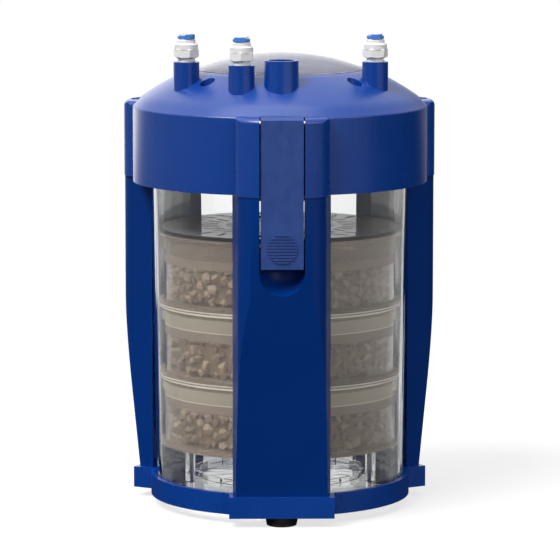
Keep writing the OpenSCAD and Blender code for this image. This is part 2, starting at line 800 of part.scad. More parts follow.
module cable_gland() color(rubber_black) on_axis() at(port_az, port_place_r) difference() {
    rod(port_bore_r, gland_top - gland_h, gland_top);
    rod(cable_r, gland_top - gland_h - eps, gland_top + eps);
}

// ---------------------------------------------------------------- latches

module latch(i) color(latch_blue) on_axis() facing(leg_az[i]) difference() {
    union() {
        across(strap_w) polygon([
            [strap_r - strap_t, strap_z],
            [strap_r, strap_z],
            [strap_r, hinge_z + head_h - head_drop],
            [hinge_r - head_back, hinge_z + head_h],
            [hinge_r - head_back, hinge_z],
            [strap_r - strap_t, hinge_z - barrel_r - 4]
        ]);
        translate([hinge_r, 0, hinge_z]) rotate([90, 0, 0])
            cylinder(r = barrel_r, h = strap_w, center = true);
        // the hook
        across(strap_w) polygon([
            [strap_r - strap_t + 0.5, strap_z],
            [strap_r - strap_t + 0.5, strap_z + hook_root_h + 0.5 * tan(hook_slant)],
            [hook_tip_r, strap_z + hook_tip_h],
            [hook_tip_r, strap_z]
        ]);
        // the ridged thumb pad
        intersection() {
            translate([strap_r - 1, 0, pad_z]) rotate([0, 90, 0])
                cylinder(r = pad_r, h = 1 + ridge_h);
            for (k = [0:pad_ridges - 1]) let(step = 2 * pad_r / pad_ridges, z = pad_z - pad_r + k * step)
                slab(strap_r - 1, strap_r + ridge_h, strap_w, z + 0.2 * step, z + 0.8 * step);
        }
    }
    translate([hinge_r, 0, hinge_z]) rotate([90, 0, 0])
        cylinder(r = pin_r + pin_clear, h = strap_w + 1, center = true);
}

// ---------------------------------------------------------------- pump

module pump_carrier() color(fitting_white) on_axis() difference() {
    union() {
        rod(carrier_r, carrier_z, carrier_top);
        for (az = pocket_places) {
            at(az, pocket_place_r) rod(boss_r, carrier_z - boss_h, carrier_top);
            at(az, 0) slab(carrier_r - 4, pocket_place_r, boss_r, carrier_z, carrier_top);
        }
        rod(well_r, well_z, carrier_top);
    }
    difference() {
        rod(well_r - well_wall, well_z + well_floor, carrier_top + eps);
        rod(magnet_tube_r + tube_wall, well_z, magnet_tube_top + 2);
    }
    rod(magnet_tube_r, well_z - eps, magnet_tube_top);
    for (az = pocket_places) at(az, pocket_place_r)
        rod(screw_r, carrier_z - boss_h - eps, carrier_top + eps);
}

module motor_stator() color([0.16, 0.16, 0.17]) on_axis()
    tube(well_r - well_wall - part_gap,
        well_r - well_wall - 2 * part_gap - magnet_tube_r - tube_wall,
        well_z + well_floor, magnet_tube_top - 3);

module rotor_magnet() color([0.20, 0.20, 0.21]) on_axis()
    tube(magnet_r, magnet_r - shaft_r - run_gap, magnet_z, magnet_z + magnet_h);

module impeller() color([0.75, 0.76, 0.74]) on_axis() difference() {
    union() {
        rod(hub_r, impeller_z, magnet_z);
        rod(impeller_r, impeller_z + vane_h, impeller_z + vane_h + disc_t);
        for (i = [0:vane_count - 1]) rotate([0, 0, i * 360 / vane_count])
            slab(hub_r - 1, impeller_r - 0.5, vane_t, impeller_z, impeller_z + vane_h + eps);
    }
    rod(shaft_r + run_gap, impeller_z - eps, magnet_z + eps);
}

module pump_shaft() color([0.92, 0.92, 0.90]) on_axis() rod(shaft_r, shaft_z, shaft_top);

module shaft_bushes() color(rubber_black) on_axis() {
    difference() {
        rod(bush_r, magnet_z + magnet_h + 0.6, magnet_tube_top);
        rod(shaft_r, magnet_z + magnet_h, shaft_top);
    }
    difference() {
        rod(bush_r, cover_z - 0.4, cover_z + cover_floor_t);
        rod(shaft_r, shaft_z, cover_z + cover_floor_t + eps);
    }
}

module impeller_cover() color(fitting_white) on_axis() {
    difference() {
        union() {
            rod(well_r, cover_z, well_z - eps);
            rod(riser_r + socket_gap + socket_wall, socket_z, cover_z + eps);
        }
        rod(well_r - 4, cover_z + cover_floor_t, well_z + eps);
        difference() {
            rod(riser_r + socket_gap, socket_z - eps, cover_z + cover_floor_t + eps);
            // the spider that holds the lower bush
            union() {
                rod(bush_r + vane_t, cover_z, cover_z + cover_floor_t);
                for (a = [90, 210, 330]) rotate([0, 0, a])
                    slab(0, riser_r + socket_wall, 2, cover_z, cover_z + cover_floor_t);
            }
        }
        rod(bush_r, cover_z - 1, cover_z + cover_floor_t + eps);
        // side outlets
        for (a = [0:60:179]) rotate([0, 0, a])
            slab(-big / 2, big / 2, outlet_w, cover_z + cover_floor_t + 1, well_z - 2);
    }
}

// ---------------------------------------------------------------- fittings

module fitting(i) color(fitting_white) on_axis() at(fitting_az[i], fitting_place_r) difference() {
    union() {
        rod(thread_r, stub_top - thread_h, stub_top);
        rod(neck_r, stub_top - eps, hex_z + eps);
        intersection() {
            rotate([0, 0, 90 - fitting_az[i] + hex_turn[i]]) translate([0, 0, hex_z])
                cylinder(r = hex_af / sqrt(3), h = hex_h, $fn = 6);
            union() {
                taper(hex_r - hex_round, hex_r + hex_corner, hex_z, hex_z + hex_round);
                rod(hex_r + hex_corner, hex_z + hex_round - eps, tier_z - hex_round);
                taper(hex_r + hex_corner, hex_r - hex_round, tier_z - hex_round - eps, tier_z);
            }
        }
        rod(tier_r, tier_z - hex_round, ring_z - tier_round);
        taper(tier_r, tier_r - tier_round, ring_z - tier_round - eps, ring_z);
        rod(collar_r, ring_z - eps, ring_z + collar_h - tier_round);
        taper(collar_r, collar_r - tier_round, ring_z + collar_h - tier_round - eps, ring_z + collar_h);
    }
    rod(collet_r, collet_z, ring_z + collar_h + eps);
    rod(oring_r, collet_z - oring_h - clip_gap, collet_z + eps);
    rod(tube_r - tube_wall_t, stub_top - thread_h - eps, collet_z);
}

module collet(i) color(fitting_white) on_axis() at(fitting_az[i], fitting_place_r) difference() {
    union() {
        rod(collet_r - run_gap, collet_z, collet_top);
        rod(collet_r + collet_lip, collet_flange_z, collet_top);
    }
    rod(tube_r, collet_z - eps, collet_top + eps);
}

module clip(i) color(clip_blue) on_axis() at(fitting_az[i], fitting_place_r)
    rotate([0, 0, tab_az[i] - fitting_az[i]]) difference() {
        union() {
            rod(clip_r, clip_z, clip_z + clip_t);
            intersection() {
                rod(clip_r + 0.5, clip_z, clip_z + tab_h);
                slab(collet_r + collet_lip + part_gap, big, tab_w, clip_z, clip_z + tab_h);
            }
        }
        rod(collet_r + clip_play, clip_z - eps, clip_z + clip_t + eps);
        slab(-big, 0, 2 * (collet_r + clip_play), clip_z - eps, clip_z + clip_t + eps);
    }

module fitting_washers() color(fitting_white) on_axis() for (az = fitting_az)
    at(az, fitting_place_r) tube(thread_r, thread_r - neck_r, stub_top, stub_top + washer_t);

module fitting_orings() color(rubber_black) on_axis() for (az = fitting_az)
    at(az, fitting_place_r) tube(oring_r, oring_r - tube_r + oring_squeeze,
        collet_z - clip_gap - oring_h, collet_z - clip_gap);

// ---------------------------------------------------------------- nodes

base_ring();
foot(leg_az[0]);  // foot_front
foot(leg_az[1]);  // foot_right
foot(leg_az[2]);  // foot_left
foot_screws();
leg(leg_az[0]);  // leg_front
leg(leg_az[1]);  // leg_right
leg(leg_az[2]);  // leg_left
leg_screws();
canister();
canister_seal();
riser_tube();
tray(0);  // tray_lower
tray(1);  // tray_middle
tray(2);  // tray_upper
media(0);  // media_lower
media(1);  // media_middle
media(2);  // media_upper
tray_cover();
tray_gasket();
lid();
lid_dome();
dome_seal();
lid_screws();
cable_gland();
latch(0);  // latch_front
latch(1);  // latch_right
latch(2);  // latch_left
latch_pins();
pump_carrier();
motor_stator();
rotor_magnet();
impeller();
pump_shaft();
shaft_bushes();
impeller_cover();
fitting(0);  // fitting_left
fitting(1);  // fitting_centre
fitting(2);  // fitting_right
collet(0);  // collet_left
collet(1);  // collet_centre
collet(2);  // collet_right
clip(0);  // clip_left
clip(1);  // clip_centre
clip(2);  // clip_right
fitting_washers();
fitting_orings();
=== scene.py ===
# %% [markdown]
# # A canister filter, dressed in Blender
#
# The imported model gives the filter's pieces at their real size and place. This script makes
# what the eye sees on it: rounded edges, moulded plastic, clear plastic, rubber and gravel.
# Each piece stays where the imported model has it, and it moves with the body that it rides on.

import json
import math
import random

import bmesh
import bpy
from mathutils import Matrix, Vector

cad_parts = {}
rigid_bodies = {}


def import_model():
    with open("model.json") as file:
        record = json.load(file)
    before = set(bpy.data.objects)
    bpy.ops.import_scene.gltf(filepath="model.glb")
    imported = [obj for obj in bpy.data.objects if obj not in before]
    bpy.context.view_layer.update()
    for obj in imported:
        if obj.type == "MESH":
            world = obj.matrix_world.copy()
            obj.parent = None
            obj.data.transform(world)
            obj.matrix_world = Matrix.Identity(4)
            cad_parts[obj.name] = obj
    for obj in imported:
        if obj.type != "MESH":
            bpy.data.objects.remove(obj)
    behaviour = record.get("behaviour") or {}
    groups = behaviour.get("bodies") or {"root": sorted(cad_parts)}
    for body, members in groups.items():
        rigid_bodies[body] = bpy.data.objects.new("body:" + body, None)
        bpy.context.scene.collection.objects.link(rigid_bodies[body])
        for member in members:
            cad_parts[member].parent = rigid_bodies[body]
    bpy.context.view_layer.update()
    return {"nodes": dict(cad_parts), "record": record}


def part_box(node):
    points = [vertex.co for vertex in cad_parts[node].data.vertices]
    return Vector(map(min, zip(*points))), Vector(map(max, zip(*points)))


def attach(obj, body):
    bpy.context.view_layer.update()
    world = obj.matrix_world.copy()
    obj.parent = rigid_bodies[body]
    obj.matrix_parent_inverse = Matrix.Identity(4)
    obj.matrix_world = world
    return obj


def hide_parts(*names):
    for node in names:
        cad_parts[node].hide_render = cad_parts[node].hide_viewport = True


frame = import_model()

# %% [markdown]
# ## The axis
#
# The canister's axis isn't the origin, because the front leg reaches further forward than the
# lid does backward. The script takes it from the canister's own box, so that it follows the
# model when a size changes.

# %% The canister's axis
MM = 0.001


def middle(low, high):
    """The foot of the upright axis through a box, given by its lowest and highest corner."""
    return Vector(((low.x + high.x) / 2, (low.y + high.y) / 2, 0))


AXIS = middle(*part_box("canister"))
print("axis at", [round(x, 5) for x in AXIS])

# %% [markdown]
# ## The camera
#
# A long lens from two and a half metres keeps the filter's sides nearly parallel. It looks
# down by less than eight degrees, so the lid's crown shows as a low dome and the base ring
# as a shallow curve.

# %% Camera
CAMERA_DISTANCE = 2.5
CAMERA_PITCH = 7.7
CAMERA_TURN = -0.75
CAMERA_LENS = 235.0
CAMERA_REACH = 60       # how far it sees
LOOK_HEIGHT = 0.153


def put_in_scene(name, data):
    """An object at the origin that shows a camera, a lamp or a mesh."""
    thing = bpy.data.objects.new(name, data)
    bpy.context.scene.collection.objects.link(thing)
    return thing


camera = put_in_scene("camera", bpy.data.cameras.new("camera"))
camera.data.lens = CAMERA_LENS
camera.data.clip_end = CAMERA_REACH
target = AXIS + Vector((0, 0, LOOK_HEIGHT))
level = CAMERA_DISTANCE * math.cos(math.radians(CAMERA_PITCH))
turn = math.radians(CAMERA_TURN)
camera.location = target + Vector((
    math.sin(turn) * level,
    -math.cos(turn) * level,
    CAMERA_DISTANCE * math.sin(math.radians(CAMERA_PITCH))))
camera.rotation_euler = (target - camera.location).to_track_quat("-Z", "Y").to_euler()
bpy.context.scene.camera = camera
print("camera at", [round(x, 3) for x in camera.location])

# %% [markdown]
# ## Node trees
#
# The world, every finish and the scattered gravel are trees of nodes. Blender wants a line
# for each input and each link, which makes a tree hard to read. A few helpers shorten that:
# one adds a node with its inputs filled in, and one links nodes by the names of their sockets.

# %% Helpers for node trees
def new_nodes(tree):
    """Empties a tree and returns a function that adds a node with its inputs and settings."""
    tree.nodes.clear()

    def add(kind, inputs=None, **settings):
        node = tree.nodes.new(kind)
        for name, value in settings.items():
            setattr(node, name, value)
        for socket, value in (inputs or {}).items():
            node.inputs[socket].default_value = value
        return node

    return add


def wire(tree, *links):
    """Links nodes. A link is (node, its output, next node, its input)."""
    for node, output, following, socket in links:
        tree.links.new(node.outputs[output], following.inputs[socket])


def math_node(add, operation, a=None, b=None):
    """A Math node with its fixed numbers set."""
    fixed = {i: value for i, value in enumerate((a, b)) if value is not None}
    return add("ShaderNodeMath", fixed, operation=operation)


def ramp(add, start, end, low, high, shape="SMOOTHSTEP"):
    """A step between two values. It is soft, or straight where the shape is LINEAR."""
    ends = {"From Min": start, "From Max": end, "To Min": low, "To Max": high}
    return add("ShaderNodeMapRange", ends, interpolation_type=shape)


def new_material(name):
    """A new material. Returns it, its tree, a function that adds nodes, and its output."""
    material = bpy.data.materials.new(name)
    material.use_nodes = True
    add = new_nodes(material.node_tree)
    return material, material.node_tree, add, add("ShaderNodeOutputMaterial")


# %% [markdown]
# ## The studio
#
# The floor is a wide pale disc. Three soft suns light it evenly, whatever its size, which a
# lamp close by wouldn't do. The camera sees white all round. A reflection finds light only
# above, behind and a little on the left, and a dark studio in front. That keeps a milky veil
# off the blue fronts and leaves a bright rim along the round edges. A ray that leaves the
# clear plastic finds white behind the filter and less to the front, which gives the plastic
# some body.

# %% How bright the studio is
bpy.context.scene.view_settings.view_transform = "Standard"

AMBIENT = 0.42          # what the world adds to a surface
DARK_GLOSS = 0.02       # how bright the dark front of the studio is in a reflection
CEILING_GLOSS = 2.15    # and the ceiling
RIGHT_CEILING = 0.5     # how much of the ceiling shows on the right
BEHIND_GLOSS = 2.2      # and the white behind the filter, which its rims show
RIGHT_GLOSS = 0.15      # how much of that shows on the right rims
LEFT_GLOSS = 0.4        # and the left side of the studio
FRONT_THROUGH = 0.55    # what a ray that leaves the clear plastic to the front meets
RIGHT_THROUGH = 0.9     # and to the right


def brightest(tree, add, *nodes):
    """The largest of several nodes' values."""
    found = nodes[0]
    for node in nodes[1:]:
        larger = math_node(add, "MAXIMUM")
        wire(tree, (found, 0, larger, 0), (node, 0, larger, 1))
        found = larger
    return found


def studio_light(tree, add, path, across, depth, plain, steps, *more):
    """How bright the studio is for a ray from the filter: plain for a matt surface, by side
    in a reflection, and by side out of clear plastic. Across and depth are the sockets with
    the way to the right and to the back, and steps says where each side starts and ends."""
    behind = ramp(add, *steps["behind"], DARK_GLOSS, BEHIND_GLOSS)
    right = ramp(add, *steps["right"], 1.0, RIGHT_GLOSS)
    left = ramp(add, *steps["left"], LEFT_GLOSS, 0.0)
    through = ramp(add, *steps["through"], FRONT_THROUGH, 1.0)
    aside = ramp(add, *steps["aside"], FRONT_THROUGH, RIGHT_THROUGH)
    rim = math_node(add, "MULTIPLY")
    glossy = add("ShaderNodeMix", {"A": plain}, data_type="FLOAT")
    cleared = add("ShaderNodeMix", data_type="FLOAT")
    wire(tree,
         (*across, right, "Value"), (*across, left, "Value"), (*across, aside, "Value"),
         (*depth, behind, "Value"), (*depth, through, "Value"), (aside, 0, through, "To Min"),
         (behind, 0, rim, 0), (right, 0, rim, 1),
         (path, "Is Glossy Ray", glossy, "Factor"),
         (brightest(tree, add, rim, *more, left), 0, glossy, "B"),
         (path, "Is Transmission Ray", cleared, "Factor"), (glossy, 0, cleared, "A"),
         (through, 0, cleared, "B"))
    return cleared


# %% World
WORLD_STEPS = {     # by a ray's direction, from -1 to 1
    "behind": (0.5, 1.0), "right": (-0.1, 0.3), "left": (-0.8, -0.2),
    "through": (0.4, 0.75), "aside": (-0.1, 0.7), "above": (-0.1, 0.8), "dimmer": (0.0, 0.9),
}


def studio_world():
    """White to the camera, dimmer as a light, and with its own ceiling in a reflection."""
    world = bpy.data.worlds.new("studio")
    world.use_nodes = True
    tree = world.node_tree
    add = new_nodes(tree)
    where = add("ShaderNodeTexCoord")
    axes = add("ShaderNodeSeparateXYZ")
    above = ramp(add, *WORLD_STEPS["above"], 0.0, CEILING_GLOSS)
    dimmer = ramp(add, *WORLD_STEPS["dimmer"], 1.0, RIGHT_CEILING)
    ceiling = math_node(add, "MULTIPLY")
    path = add("ShaderNodeLightPath")
    unseen = studio_light(
        tree, add, path, (axes, "X"), (axes, "Y"), AMBIENT, WORLD_STEPS, ceiling)
    seen = add("ShaderNodeMix", {"B": 1.0}, data_type="FLOAT")
    light = add("ShaderNodeBackground")
    out = add("ShaderNodeOutputWorld")
    wire(tree,
         (where, "Generated", axes, 0), (axes, "Z", above, "Value"),
         (axes, "X", dimmer, "Value"),
         (above, 0, ceiling, 0), (dimmer, 0, ceiling, 1),
         (path, "Is Camera Ray", seen, "Factor"), (unseen, 0, seen, "A"),
         (seen, 0, light, "Strength"), (light, 0, out, "Surface"))
    return world


bpy.context.scene.world = studio_world()
print("world", bpy.context.scene.world.name)

# %% Floor
FLOOR_RADIUS = 14.0
FLOOR_DROP = 0.00005                 # how far it lies under the feet
FLOOR_WHITE = 0.93
SHADOW = 0.3                         # share of the shadow that stays next to the filter
FADE_START, FADE_END = 0.25, 0.9     # where the last of it turns into plain white
FLOOR_BOUNCE = 0.10                  # what the floor throws back on the filter
FLOOR_WEDGE = 0.8                    # how fast the white behind narrows to the sides
FLOOR_STEPS = {     # by the place on the floor, in metres
    "behind": (0.3, 1.8), "right": (0.0, 0.5), "left": (-1.8, -0.9),
    "through": (-0.1, 0.2), "aside": (0.0, 1.0),
}


def mesh_from(bm, name):
    """A new mesh of what a bmesh holds. The bmesh is freed."""
    mesh = bpy.data.meshes.new(name)
    bm.to_mesh(mesh)
    bm.free()
    return mesh


def floor_material():
    """White to the camera with a faint shadow, dim as a light, and dark in front in a
    reflection."""
    material, tree, add, out = new_material("studio_floor")
    where = add("ShaderNodeTexCoord")
    far = add("ShaderNodeVectorMath", operation="LENGTH")
    fade = ramp(add, FADE_START, FADE_END, 1.0 - SHADOW, 1.0)
    lit = add("ShaderNodeBsdfDiffuse", {"Color": (FLOOR_WHITE, FLOOR_WHITE, FLOOR_WHITE, 1)})
    white = add("ShaderNodeEmission")
    seen = add("ShaderNodeMixShader")
    axes = add("ShaderNodeSeparateXYZ")
    sideways = math_node(add, "ABSOLUTE")
    depth = math_node(add, "MULTIPLY_ADD", b=-FLOOR_WEDGE)
    path = add("ShaderNodeLightPath")
    level = studio_light(
        tree, add, path, (axes, "X"), (depth, 0), FLOOR_BOUNCE, FLOOR_STEPS)
    unseen = add("ShaderNodeEmission")
    mix = add("ShaderNodeMixShader")
    wire(tree,
         (where, "Object", far, 0), (far, "Value", fade, "Value"),
         (fade, 0, seen, "Fac"), (lit, 0, seen, 1),
         (white, 0, seen, 2),
         (where, "Object", axes, 0), (axes, "X", sideways, 0),
         (sideways, 0, depth, 0), (axes, "Y", depth, 2),
         (level, 0, unseen, "Strength"),
         (path, "Is Camera Ray", mix, "Fac"), (unseen, 0, mix, 1),
         (seen, 0, mix, 2), (mix, 0, out, "Surface"))
    return material


def studio_floor():
    """A flat disc under the feet."""
    bm = bmesh.new()
    bmesh.ops.create_circle(bm, cap_ends=True, radius=FLOOR_RADIUS, segments=96)
    floor = put_in_scene("floor", mesh_from(bm, "floor"))
    floor.data.materials.append(floor_material())
    floor.location = (0, 0, -FLOOR_DROP)


studio_floor()
print("floor", 2 * FLOOR_RADIUS, "m across")

# %% Lamps
LAMPS = [
    # name, direction the light comes from, strength, softness in degrees
    ("key", (-0.6, -0.55, 0.95), 3.3, 30),
    ("fill", (0.7, -0.75, 0.2), 1.3, 60),
    ("top", (-0.1, -0.1, 1.0), 0.9, 45),
]


def soft_sun(name, source, strength, softness):
    """A sun so wide that its shadows have no edge."""
    lamp = put_in_scene(name, bpy.data.lights.new(name, "SUN"))
    lamp.data.energy = strength
    lamp.data.angle = math.radians(softness)
    lamp.rotation_euler = Vector(source).to_track_quat("Z", "Y").to_euler()


for lamp in LAMPS:
    soft_sun(*lamp)
print("lamps", len(LAMPS))

# %% [markdown]
# ## Shader groups
#
# Two effects turn up on more than one finish. A moulded skin has a fine grain, a slow, blotchy
# change of shade from the way the plastic flowed, and faint scuffs from handling. Clear
# plastic has long, shallow waves that draw the bright lines of a lamp out of true, and a few
# scratches. Each is a node group, built once, with its sizes as inputs, so that each material
# gives its own.

# %% A helper that makes a shader group
def shader_group(name, inputs, outputs):
    """A node group. Inputs are names with a usual value, outputs are names with a kind.
    Returns it, a function that adds nodes, and both ends."""
    group = bpy.data.node_groups.new(name, "ShaderNodeTree")
    for label, value in inputs.items():
        kind = "NodeSocketColor" if isinstance(value, tuple) else "NodeSocketFloat"
        socket = group.interface.new_socket(label, in_out="INPUT", socket_type=kind)
        socket.default_value = value
    for label, kind in outputs.items():
        group.interface.new_socket(label, in_out="OUTPUT", socket_type="NodeSocket" + kind)
    add = new_nodes(group)
    return group, add, add("NodeGroupInput"), add("NodeGroupOutput")


# %% Moulded skin
SCUFF_SCALE = (260, 260, 34)        # scuffs are narrow across and long
SCUFF_TURN = (0.5, 0.3, 0)          # and lean out of the upright
BLOTCH_ROUGH = 0.10                 # what a blotch adds to the roughness


def moulded_skin():
    """A fine grain, a blotchy shade and faint scuffs, as on moulded plastic."""
    group, add, given, made = shader_group(
        "moulded_skin",
        {"Color": (0.5, 0.5, 0.5, 1), "Blotch Color": (0.6, 0.6, 0.6, 1), "Blotch": 0.2,
         "Blotch Size": 0.02, "Grain Size": 0.0005, "Roughness": 0.4, "Scuffs": 0.1},
        {"Color": "Color", "Roughness": "Float", "Grain": "Float"})
    where = add("ShaderNodeTexCoord")
    blotch_scale = math_node(add, "DIVIDE", 1.0)
    blotch = add("ShaderNodeTexNoise", {"Detail": 4, "Roughness": 0.62})
    spread = ramp(add, 0.36, 0.64, 0.0, 1.0, "LINEAR")
    amount = math_node(add, "MULTIPLY")
    shade = add("ShaderNodeMix", data_type="RGBA")
    grain_scale = math_node(add, "DIVIDE", 1.0)
    grain = add("ShaderNodeTexNoise", {"Detail": 2})
    stretch = add("ShaderNodeMapping", {"Scale": SCUFF_SCALE, "Rotation": SCUFF_TURN})
    scuff = add("ShaderNodeTexNoise", {"Scale": 1.0, "Detail": 3})
    only_some = ramp(add, 0.56, 0.74, 0.0, 1.0, "LINEAR")
    scuffed = math_node(add, "MULTIPLY")
    rough_blotch = math_node(add, "MULTIPLY", b=BLOTCH_ROUGH)
    rough = math_node(add, "ADD")
    rough_end = math_node(add, "ADD")
    wire(group,
         (given, "Blotch Size", blotch_scale, 1),
         (where, "Object", blotch, "Vector"), (blotch_scale, 0, blotch, "Scale"),
         (blotch, "Fac", spread, "Value"),
         (spread, 0, amount, 0), (given, "Blotch", amount, 1),
         (amount, 0, shade, "Factor"), (given, "Color", shade, "A"),
         (given, "Blotch Color", shade, "B"), (shade, "Result", made, "Color"),
         (given, "Grain Size", grain_scale, 1),
         (where, "Object", grain, "Vector"), (grain_scale, 0, grain, "Scale"),
         (grain, "Fac", made, "Grain"),
         (where, "Object", stretch, "Vector"), (stretch, 0, scuff, "Vector"),
         (scuff, "Fac", only_some, "Value"),
         (only_some, 0, scuffed, 0), (given, "Scuffs", scuffed, 1),
         (amount, 0, rough_blotch, 0),
         (given, "Roughness", rough, 0), (rough_blotch, 0, rough, 1),
         (rough, 0, rough_end, 0), (scuffed, 0, rough_end, 1), (rough_end, 0, made, "Roughness"))
    return group


MOULDED_SKIN = moulded_skin()
print(MOULDED_SKIN.name, "has", len(MOULDED_SKIN.nodes), "nodes")

# %% Waves in clear plastic
SCRATCH_SCALE = (900, 900, 60)
SCRATCH_TURN = (0.35, 0.2, 0)


def flow_waves():
    """Long upright waves and a few scratches, for clear moulded plastic."""
    group, add, given, made = shader_group(
        "flow_waves",
        {"Wave Size": 0.01, "Length": 6.0, "Roughness": 0.02, "Scratches": 0.1},
        {"Roughness": "Float", "Waves": "Float"})
    where = add("ShaderNodeTexCoord")
    flat = add("ShaderNodeCombineXYZ", {"X": 1.0, "Y": 1.0})
    upright = math_node(add, "DIVIDE", 1.0)
    squeeze = add("ShaderNodeVectorMath", operation="MULTIPLY")
    scale = math_node(add, "DIVIDE", 1.0)
    wave = add("ShaderNodeTexNoise", {"Detail": 1.5})
    thin = add("ShaderNodeMapping", {"Scale": SCRATCH_SCALE, "Rotation": SCRATCH_TURN})
    scratch = add("ShaderNodeTexNoise", {"Scale": 1.0, "Detail": 2})
    rare = ramp(add, 0.66, 0.8, 0.0, 1.0, "LINEAR")
    amount = math_node(add, "MULTIPLY")
    rough = math_node(add, "ADD")
    wire(group,
         (given, "Length", upright, 1), (upright, 0, flat, "Z"),
         (where, "Object", squeeze, 0), (flat, 0, squeeze, 1),
         (given, "Wave Size", scale, 1),
         (squeeze, 0, wave, "Vector"), (scale, 0, wave, "Scale"), (wave, "Fac", made, "Waves"),
         (where, "Object", thin, "Vector"), (thin, 0, scratch, "Vector"),
         (scratch, "Fac", rare, "Value"),
         (rare, 0, amount, 0), (given, "Scratches", amount, 1),
         (given, "Roughness", rough, 0), (amount, 0, rough, 1), (rough, 0, made, "Roughness"))
    return group


FLOW_WAVES = flow_waves()
print(FLOW_WAVES.name, "has", len(FLOW_WAVES.nodes), "nodes")

# %% [markdown]
# ## Finishes
#
# The blue mouldings differ a little: the lid and the base ring are satin, the legs are less
# glossy and painted darker, as painted shade for the weaker light low down, the latches are
# duller and a little paler, and the clips are light blue. One function makes them, and all
# other opaque finishes but the gravel's, from two colours, the grain and the gloss. Steel is
# one more, with its metallic share at the top.

# %% Opaque finishes
def colour(red, green, blue):
    """A colour in linear light."""
    return (red, green, blue, 1.0)


def plastic(name, base, blotch_colour, blotch, blotch_size, grain_size, grain_depth,
            roughness, scuffs, specular=0.5, metallic=0.0):
    """An opaque finish with a moulded skin: plastic, rubber, ceramic, magnet or steel."""
    material, tree, add, out = new_material(name)
    skin = add("ShaderNodeGroup",
               {"Color": base, "Blotch Color": blotch_colour, "Blotch": blotch,
                "Blotch Size": blotch_size * MM, "Grain Size": grain_size * MM,
                "Roughness": roughness, "Scuffs": scuffs}, node_tree=MOULDED_SKIN)
    bump = add("ShaderNodeBump", {"Distance": grain_depth * MM})
    body = add("ShaderNodeBsdfPrincipled",
               {"Specular IOR Level": specular, "Metallic": metallic})
    wire(tree,
         (skin, "Color", body, "Base Color"), (skin, "Roughness", body, "Roughness"),
         (skin, "Grain", bump, "Height"), (bump, 0, body, "Normal"), (body, 0, out, "Surface"))
    return material


PLASTICS = {
    # colour, blotch colour, share and size of the blotches, grain size and depth, roughness,
    # scuffs, and then specular level and metallic share where they aren't the usual ones
    "shell_blue": (colour(0.0008, 0.038, 0.240), colour(0.0010, 0.044, 0.270),
                   0.4, 45, 0.45, 0.007, 0.26, 0.02),
    # a darker copy of shell_blue: painted shade for the legs, which stand lower and get less
    # light
    "leg_blue": (colour(0.0002, 0.0255, 0.165), colour(0.0003, 0.030, 0.186),
                 0.4, 45, 0.45, 0.007, 0.32, 0.02, 0.14),
    "latch_blue": (colour(0.009, 0.040, 0.195), colour(0.016, 0.052, 0.225),
                   0.8, 9, 0.5, 0.02, 0.5, 0.12),
    "clip_blue": (colour(0.045, 0.200, 0.640), colour(0.052, 0.215, 0.680),
                  0.5, 6, 0.3, 0.006, 0.3, 0.05),
    "fitting_white": (colour(0.76, 0.755, 0.74), colour(0.72, 0.715, 0.70),
                      0.5, 8, 0.35, 0.006, 0.32, 0.08),
    "rubber_black": (colour(0.006, 0.006, 0.005), colour(0.013, 0.012, 0.011),
                     0.7, 6, 0.25, 0.02, 0.62, 0.12, 0.2),
    "pump_grey": (colour(0.045, 0.048, 0.052), colour(0.060, 0.062, 0.066),
                  0.6, 16, 0.4, 0.012, 0.42, 0.08),
    "stator_dark": (colour(0.028, 0.022, 0.016), colour(0.050, 0.036, 0.022),
                    0.8, 5, 0.6, 0.03, 0.45, 0.10),
    "magnet_dark": (colour(0.030, 0.030, 0.033), colour(0.052, 0.050, 0.050),
                    0.8, 7, 0.3, 0.015, 0.38, 0.15),
    "shaft_ceramic": (colour(0.78, 0.76, 0.70), colour(0.70, 0.67, 0.60),
                      0.4, 5, 0.2, 0.004, 0.22, 0.04),
    "steel": (colour(0.56, 0.56, 0.57), colour(0.46, 0.46, 0.46),
              0.5, 3, 0.15, 0.008, 0.26, 0.2, 0.5, 1.0),
}
FINISH = {name: plastic(name, *values) for name, values in PLASTICS.items()}
print("opaque finishes", sorted(FINISH))

# %% [markdown]
# ## Clear plastic
#
# The canister, the trays and the dome are clear, and a shader that bends light as they do
# lets no lamp light through. So a shadow ray meets Transparent in its place, and the gravel
# inside is lit as it would be through a thin clear wall. Moulded trays are also a little
# cloudy. A share of their light scatters, more in the thick rims than in the wall, so that
# share and its colour follow the height within each tray. The thin pale lines along the
# rims are painted highlights of their rounded edges, set in that haze colour.

# %% Haze by height
def banded_haze(tree, add, foot, pitch, count, bands, above):
    """Haze colour and share by height, for pieces that stand one on another. Bands are
    (height, colour, share) from the foot of each, in metres. The pieces above the first
    count keep the share and have one colour. Returns the nodes of the colour and the share."""
    where = add("ShaderNodeTexCoord")
    axes = add("ShaderNodeSeparateXYZ")
    rise = math_node(add, "SUBTRACT", b=foot)
    local = math_node(add, "MODULO", b=pitch)
    share = math_node(add, "DIVIDE", b=pitch)
    look_up = add("ShaderNodeValToRGB")
    stops = look_up.color_ramp.elements
    for i, (height, shade, amount) in enumerate(bands):
        stop = stops[i] if i < 2 else stops.new(height / pitch)
        stop.position = height / pitch
        stop.color = (*shade[:3], amount)
    under = math_node(add, "LESS_THAN", b=pitch * count)
    tint = add("ShaderNodeMix", {"A": above}, data_type="RGBA")
    wire(tree,
         (where, "Object", axes, 0), (axes, "Z", rise, 0), (rise, 0, local, 0),
         (local, 0, share, 0), (share, 0, look_up, "Fac"),
         (rise, 0, under, 0),
         (under, 0, tint, "Factor"), (look_up, "Color", tint, "B"))
    return tint, look_up


